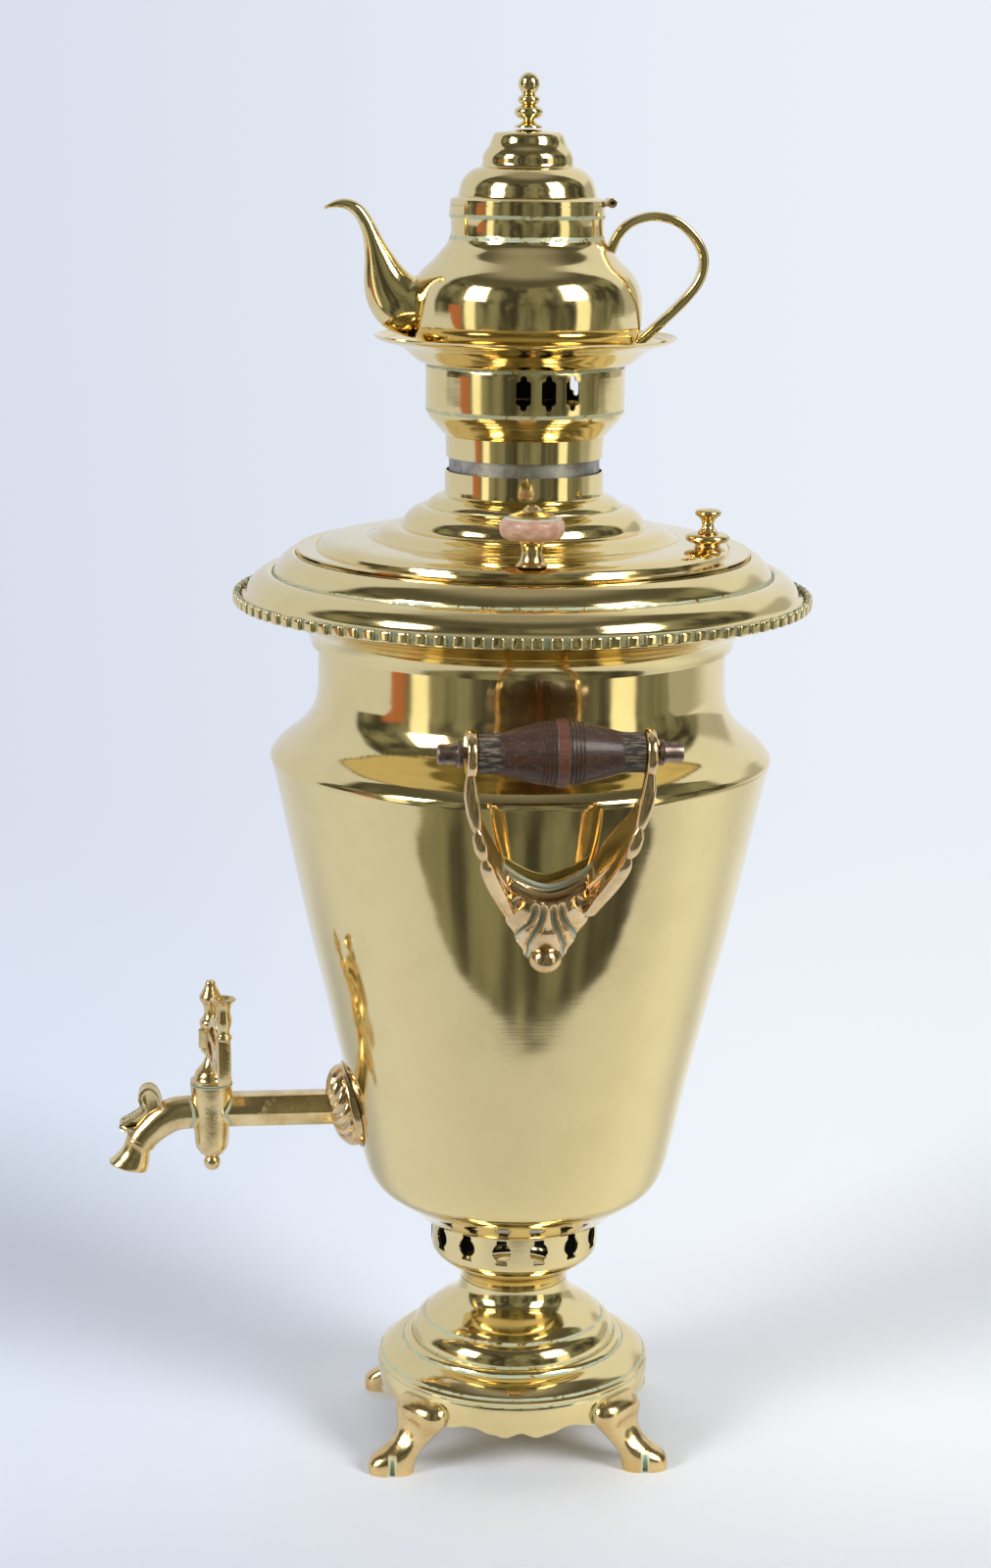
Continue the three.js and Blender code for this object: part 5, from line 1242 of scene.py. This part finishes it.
TAP_MOUTH = [(-178.5, 0, 152.8, 6.9, 6.8, 28), (-179.2, 0, 151.2, 6.4, 6.4, 24),
    (-179.9, 0, 149.2, 6, 6.4, 20), (-180.7, 0, 146.2, 6.2, 6.9, 18), (-181.9, 0, 143.6, 6.8, 7.9, 16),
    (-183.3, 0, 141.4, 7.5, 8.8, 15), (-184.2, 0, 140.1, 7.8, 9.3, 14), (-184.4, 0, 139.2, 7.7, 9.2, 14)]
spout = skinned("tap_spout", TAP_SPOUT, sides=32, steps=5)
mouth = skinned("tap_mouth", TAP_MOUTH, sides=40, steps=3, close=(False, False))
apply(mouth, "SOLIDIFY", thickness=1.3 * MM, offset=-1)
SCOOP = ((0.4, 0.55), (0.4, 0.35), (0.2, 0.1))


def plate(name, outline, thickness, scoop=0):
    """A flat piece upright over the X axis. Both its sides can be scooped out by three insets."""
    ring = flowing([*outline, outline[0]], 3)[:-1]
    made = slab(name, [(AXIS + x * MM, -thickness / 2 * MM, z * MM) for x, z in ring], thickness * MM)
    if not scoop:
        return made
    hollow = made.data.attributes.new("hollow", "FLOAT", "POINT")
    before = len(made.data.vertices)
    for face in made.data.polygons:
        face.select = len(face.vertices) > 4
    bpy.ops.object.mode_set(mode="EDIT")
    bpy.ops.mesh.select_mode(type="FACE")
    for share, depth in SCOOP:
        bpy.ops.mesh.inset(thickness=scoop * share, depth=-scoop * depth, use_individual=True)
    bpy.ops.mesh.select_mode(type="VERT")
    bpy.ops.object.mode_set(mode="OBJECT")
    first_ring = (len(made.data.vertices) - before) // len(SCOOP)
    for index in range(before, before + first_ring):
        made.data.attributes["hollow"].data[index].value = 0.9
    return made


def softened(piece, width):
    apply(piece, "BEVEL", width=width * MM, segments=3, limit_method="ANGLE", angle_limit=math.radians(50))
    return piece


SCROLL = [(-179.3, 173.2), (-178.4, 176.6), (-175.8, 178.9), (-172.4, 178.7), (-169.8, 176),
    (-168.3, 171.5), (-167.8, 166.5), (-169, 161.8), (-172.4, 158.5), (-178, 156.9), (-184.8, 157.2),
    (-187.9, 159.1), (-187.8, 161.3), (-184.4, 163.3), (-179.8, 166.2), (-177.4, 168.6), (-178.4, 170.6)]
scroll = softened(plate("tap_scroll", SCROLL, 9, scoop=2.1 * MM), 0.7)
tap = named(joined(barrel, pipe, spout, mouth, scroll), "tap_casting")


def tap_seams(finish):
    """Green where no cloth reaches: round the barrel's top, at its joints and in the scroll."""
    off_plug = finish.away_from(PLUG)
    top = finish.z.band(179.4 * MM, 180.8 * MM, 0.3 * MM) * off_plug.within(9.3 * MM, 9.7 * MM)
    joints = off_plug.band(10.4 * MM, 11 * MM, 0.5 * MM) * finish.z.band(157 * MM, 173 * MM, 1 * MM)
    return top.most(joints).most(hollows(finish))


tap_brass = cast_brass("tap_brass", (0.84, 0.66, 0.34, 1), 0.7, seams=tap_seams)
finished(tap, tap_brass, "samovar_body", "tap_body", smooth=50)
ball_nut = turned("tap_ball", eased([(0, 136.4), (1.8, 136.7), (3.2, 137.9), (3.9, 139.9), (3.8, 141.6),
    (3, 143.3), (1.9, 144.2), (1.9, 144.2), (2.6, 144.5), (4, 145.2), (4, 145.2), (0, 145.3), (0, 145.3)],
    longest=0.5), steps=40, centre=PLUG)
finished(ball_nut, tap_brass, "tap_plug", "tap_ball_nut")

# %% [markdown]
# The key is the part that a hand turns: a turned stem with a squared block, and an openwork arm that ends
# in a small trumpet. The arm points to the front, away from the pipe.

# %% Tap key
KEY_FOOT, KEY_TOP = 180.3, top_of("tap_key")
KEY_TURN, BLOCK_TURN = math.radians(-78), math.radians(-38)
stem = turned("key_stem", eased([(0, KEY_FOOT), (0, KEY_FOOT), (9.9, KEY_FOOT), (9.9, KEY_FOOT),
    (9.8, 181.6), (8.8, 182), (8.8, 182), (8.2, 183), (7.7, 184.8), (6.6, 186.6), (5.2, 188.2), (4, 190),
    (3.1, 192), (2.8, 193.4), (3.4, 194.5), (4.6, 195.5), (4.7, 196.6), (4.7, 196.6), (3.9, 197),
    (3.9, 207), (3.9, 207), (4.8, 207.6), (5.3, 209), (5.1, 210.6), (4.1, 211.9), (3.3, 213.6), (3, 215.6),
    (3.4, 217.8), (4.3, 219.6), (5.1, 221), (5.2, 222.4), (4.4, 224), (3.3, 226), (2.5, 227.8),
    (2.4, 228.8), (1.8, KEY_TOP), (0, KEY_TOP)], longest=0.6), steps=48, centre=PLUG)
put_down()
bpy.ops.mesh.primitive_cube_add(size=1, location=(PLUG[0], 0, 202 * MM), rotation=(0, 0, BLOCK_TURN))
block = stretched(bpy.context.object, 8.6 * MM, 8.6 * MM, 9.6 * MM)
apply(block, "BEVEL", width=0.6 * MM, segments=3)
ARM_OUTLINE = [(3, 197.4), (8.4, 195.4), (13.4, 188.6), (18.4, 190.4), (20.4, 197), (23.6, 195.4),
    (26.4, 187.2), (29, 188.6), (29.8, 199), (28.6, 210), (25, 212.6), (20.8, 217), (12.8, 216), (3, 206)]
ARM_HOLES = [[(7, 200.4), (11, 196.6), (15, 194.6), (16.8, 198), (14, 202.8), (8.6, 203.6)],
             [(10.2, 207.8), (15, 206.8), (23.4, 203), (24.2, 208.6), (19.6, 212.6), (14, 211.6)]]
arm = softened(plate("key_arm", [(x - PLUG_OUT, z) for x, z in ARM_OUTLINE], 6.2), 1.2)
for hole in ARM_HOLES:
    cut_with(arm, plate("key_hole", [(x - PLUG_OUT, z) for x, z in hole], 12))
trumpet = turned("key_trumpet", eased([(0, 208.8), (0, 208.8), (3.3, 208.8), (3.9, 209.8), (3.9, 211),
    (3, 212), (2.9, 213.6), (3.5, 216), (3.9, 218.4), (3.5, 221), (3.3, 223.2), (3.9, 225.8), (5.4, 227.8),
    (6.1, 228.6), (6.1, 228.6), (5.5, 229), (3.2, 227.2), (0, 225.6)], longest=0.6), steps=40,
    centre=(AXIS + (27.2 - PLUG_OUT) * MM, 0))
arm = moved(joined(arm, trumpet), about_axis(Matrix.Rotation(KEY_TURN, 4, "Z"), PLUG))
key = named(joined(stem, block, arm), "tap_key_casting")
finished(key, tap_brass, "tap_plug", "tap_key", smooth=50)
print("key stands", round(KEY_TOP - KEY_FOOT, 1), "mm above the barrel")

# %% [markdown]
# Five plain fittings stay as the CAD model has them: the grate, three nuts inside the body and the hinge's
# pin. They get the metals that such parts have, because they show through the vents or from above.

# %% Plain fittings
FITTINGS = {"fire_grate": iron, "handle_nut_front": casting, "handle_nut_rear": casting,
            "tap_lock_nut": casting, "teapot_hinge_pin": casting}
for node, metal in FITTINGS.items():
    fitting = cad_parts[node].data
    fitting.materials.clear()
    fitting.materials.append(metal)
print(len(FITTINGS), "fittings have their metal")

# %% [markdown]
# The samovar stands on white paper whose front edge lies a hand's breadth before it. Beyond that edge the
# studio is dark, and polished brass shows exactly that: a dark tongue down the front of the cone, bright
# cream beside it, and two soft lamps that spark on every roll. So the paper's plane goes on to the front for
# the camera alone, which sees one pale floor from any side, and the brass looks through it into the studio.

# %% Paper
PAPER_FRONT = -0.318
FAR = 6
bpy.ops.mesh.primitive_plane_add(size=1, location=(AXIS, 0, 0))
paper_sheet = bpy.context.object
paper_sheet.name = "paper_sheet"
shape(paper_sheet)
bpy.ops.transform.resize(value=(2 * FAR, 2 * FAR, 1))
bpy.ops.object.mode_set(mode="OBJECT")
BACKDROP_SHADED_LEFT, BACKDROP_LIT_RIGHT = (0.69, 0.735, 0.84, 1), (0.83, 0.87, 0.94, 1)


def backdrop(finish, ahead, sideways):
    """Pale lavender, with painted light that makes it brighter to the right. The two distances say which way
    the place lies.
    """
    return finish.blend((sideways / abs(ahead)).within(-0.12, 0.26), BACKDROP_SHADED_LEFT, BACKDROP_LIT_RIGHT)


def looked_at(finish):
    """1 for rays that carry a picture: what the camera sees, in a mirror or through glass as well."""
    return finish.ray("Camera").most(finish.ray("Glossy")).most(finish.ray("Transmission"))


PAPER_SHADED_LEFT, PAPER_LIT_RIGHT = (0.77, 0.82, 0.95, 1), (0.93, 0.96, 1, 1)
PAPER_SHADED_FRONT, MID_GREY = (0.66, 0.70, 0.82, 1), (0.34, 0.35, 0.32, 1)
paper = Finish("paper", Roughness=0.7)
# Painted light: the paper's own colour is made darker on the left and brighter on the right.
paper_painted_light_across = paper.blend((paper.x - AXIS).within(-0.3, 0.25), PAPER_SHADED_LEFT, PAPER_LIT_RIGHT)
# Painted shade: the paper's colour darkens towards the front, before the samovar.
paper.set("Base Color", paper.blend((0 - paper.y).within(0.04, 0.3) * 0.75, paper_painted_light_across, PAPER_SHADED_FRONT))
far = paper.radius.within(0.3, 1.5)
beyond = (paper.x - AXIS).within(0.55, 0.95) * (1 - paper.y.within(0.4, 1.2))
far_paper = backdrop(paper, paper.y - camera.location.y, paper.x - camera.location.x)
glow = paper.node("ShaderNodeEmission", values={
    "Color": paper.blend(beyond * 0.8, far_paper, MID_GREY), "Strength": 1})
lit = Wire(paper, paper.surface.outputs[0])
shown = paper.node("ShaderNodeMixShader", values={0: far * looked_at(paper), 1: lit, 2: glow})
open_front = (PAPER_FRONT - paper.y).within(0, 0.004) * (1 - paper.ray("Camera"))
nothing = paper.node("ShaderNodeBsdfTransparent")
whole_paper = paper.node("ShaderNodeMixShader", values={0: open_front, 1: shown, 2: nothing})
paper.tree.links.new(whole_paper.socket, paper.tree.nodes["Material Output"].inputs[0])
paper_sheet.data.materials.append(paper.material)
print("paper:", len(paper.tree.nodes), "nodes")

# %% [markdown]
# The studio is the world's colour. Only the brass sees its lamps, stands and dark corners: the camera itself
# sees the pale backdrop on all sides. Places in it are given in degrees.

# %% Studio
class Room(Finish):
    """The same sums, over a direction instead of a place."""
    def __init__(self, world):
        world.use_nodes = True
        self.tree = world.node_tree
        self.place = self.node("ShaderNodeTexCoord", out="Generated")
        self.x, self.y, self.z = self.parts(self.place)
        to_degrees = 180 / math.pi
        self.turn = self.x.join("ARCTAN2", self.x, 0 - self.y) * to_degrees
        self.rise = self.node("ShaderNodeMath", {"operation": "ARCSINE"}, {0: self.z}) * to_degrees

    def patch(self, turn, rise, half_wide, half_high, soft=3):
        """1 in a patch of the room, given in degrees to the right of the front and above the floor."""
        across = self.turn.band(turn - half_wide, turn + half_wide, soft)
        return across * self.rise.band(rise - half_high, rise + half_high, soft)


world = bpy.data.worlds.new("studio")
bpy.context.scene.world = world
room = Room(world)
clutter = room.noise(4.2, 3, (1, 1, 0.3), 0.55).within(0.38, 0.68)
front = room.turn.band(-106, 106, 5)
white = backdrop(room, room.y, room.x)
whole = room.blend(clutter, (0.05, 0.05, 0.042, 1), (0.27, 0.28, 0.21, 1))
for share, colour in (
        (room.patch(-81, -8, 5, 8, 5) * 0.9, (0.52, 0.19, 0.09, 1)),
        (1 - front, white),
        (room.patch(122, 3, 14, 12, 8) * 0.7, MID_GREY),
        (front * room.rise.within(40, 48), (0.10, 0.10, 0.08, 1)),
        (room.rise.within(56, 80), (0.34, 0.34, 0.33, 1)),
        ((room.patch(-64, 2, 4, 24) + room.patch(52, 2, 6, 26)).least(1) * 0.75, (1.6, 1.6, 1.3, 1)),
        ((room.patch(-60, 27, 9, 10) + room.patch(46, 32, 10, 11)).least(1), (13.5, 13.5, 13.4, 1)),
        (room.ray("Camera"), white)):
    whole = room.blend(share, whole, colour)
world.node_tree.links.new(whole.socket, world.node_tree.nodes["Background"].inputs[0])
print("studio:", len(world.node_tree.nodes), "nodes")
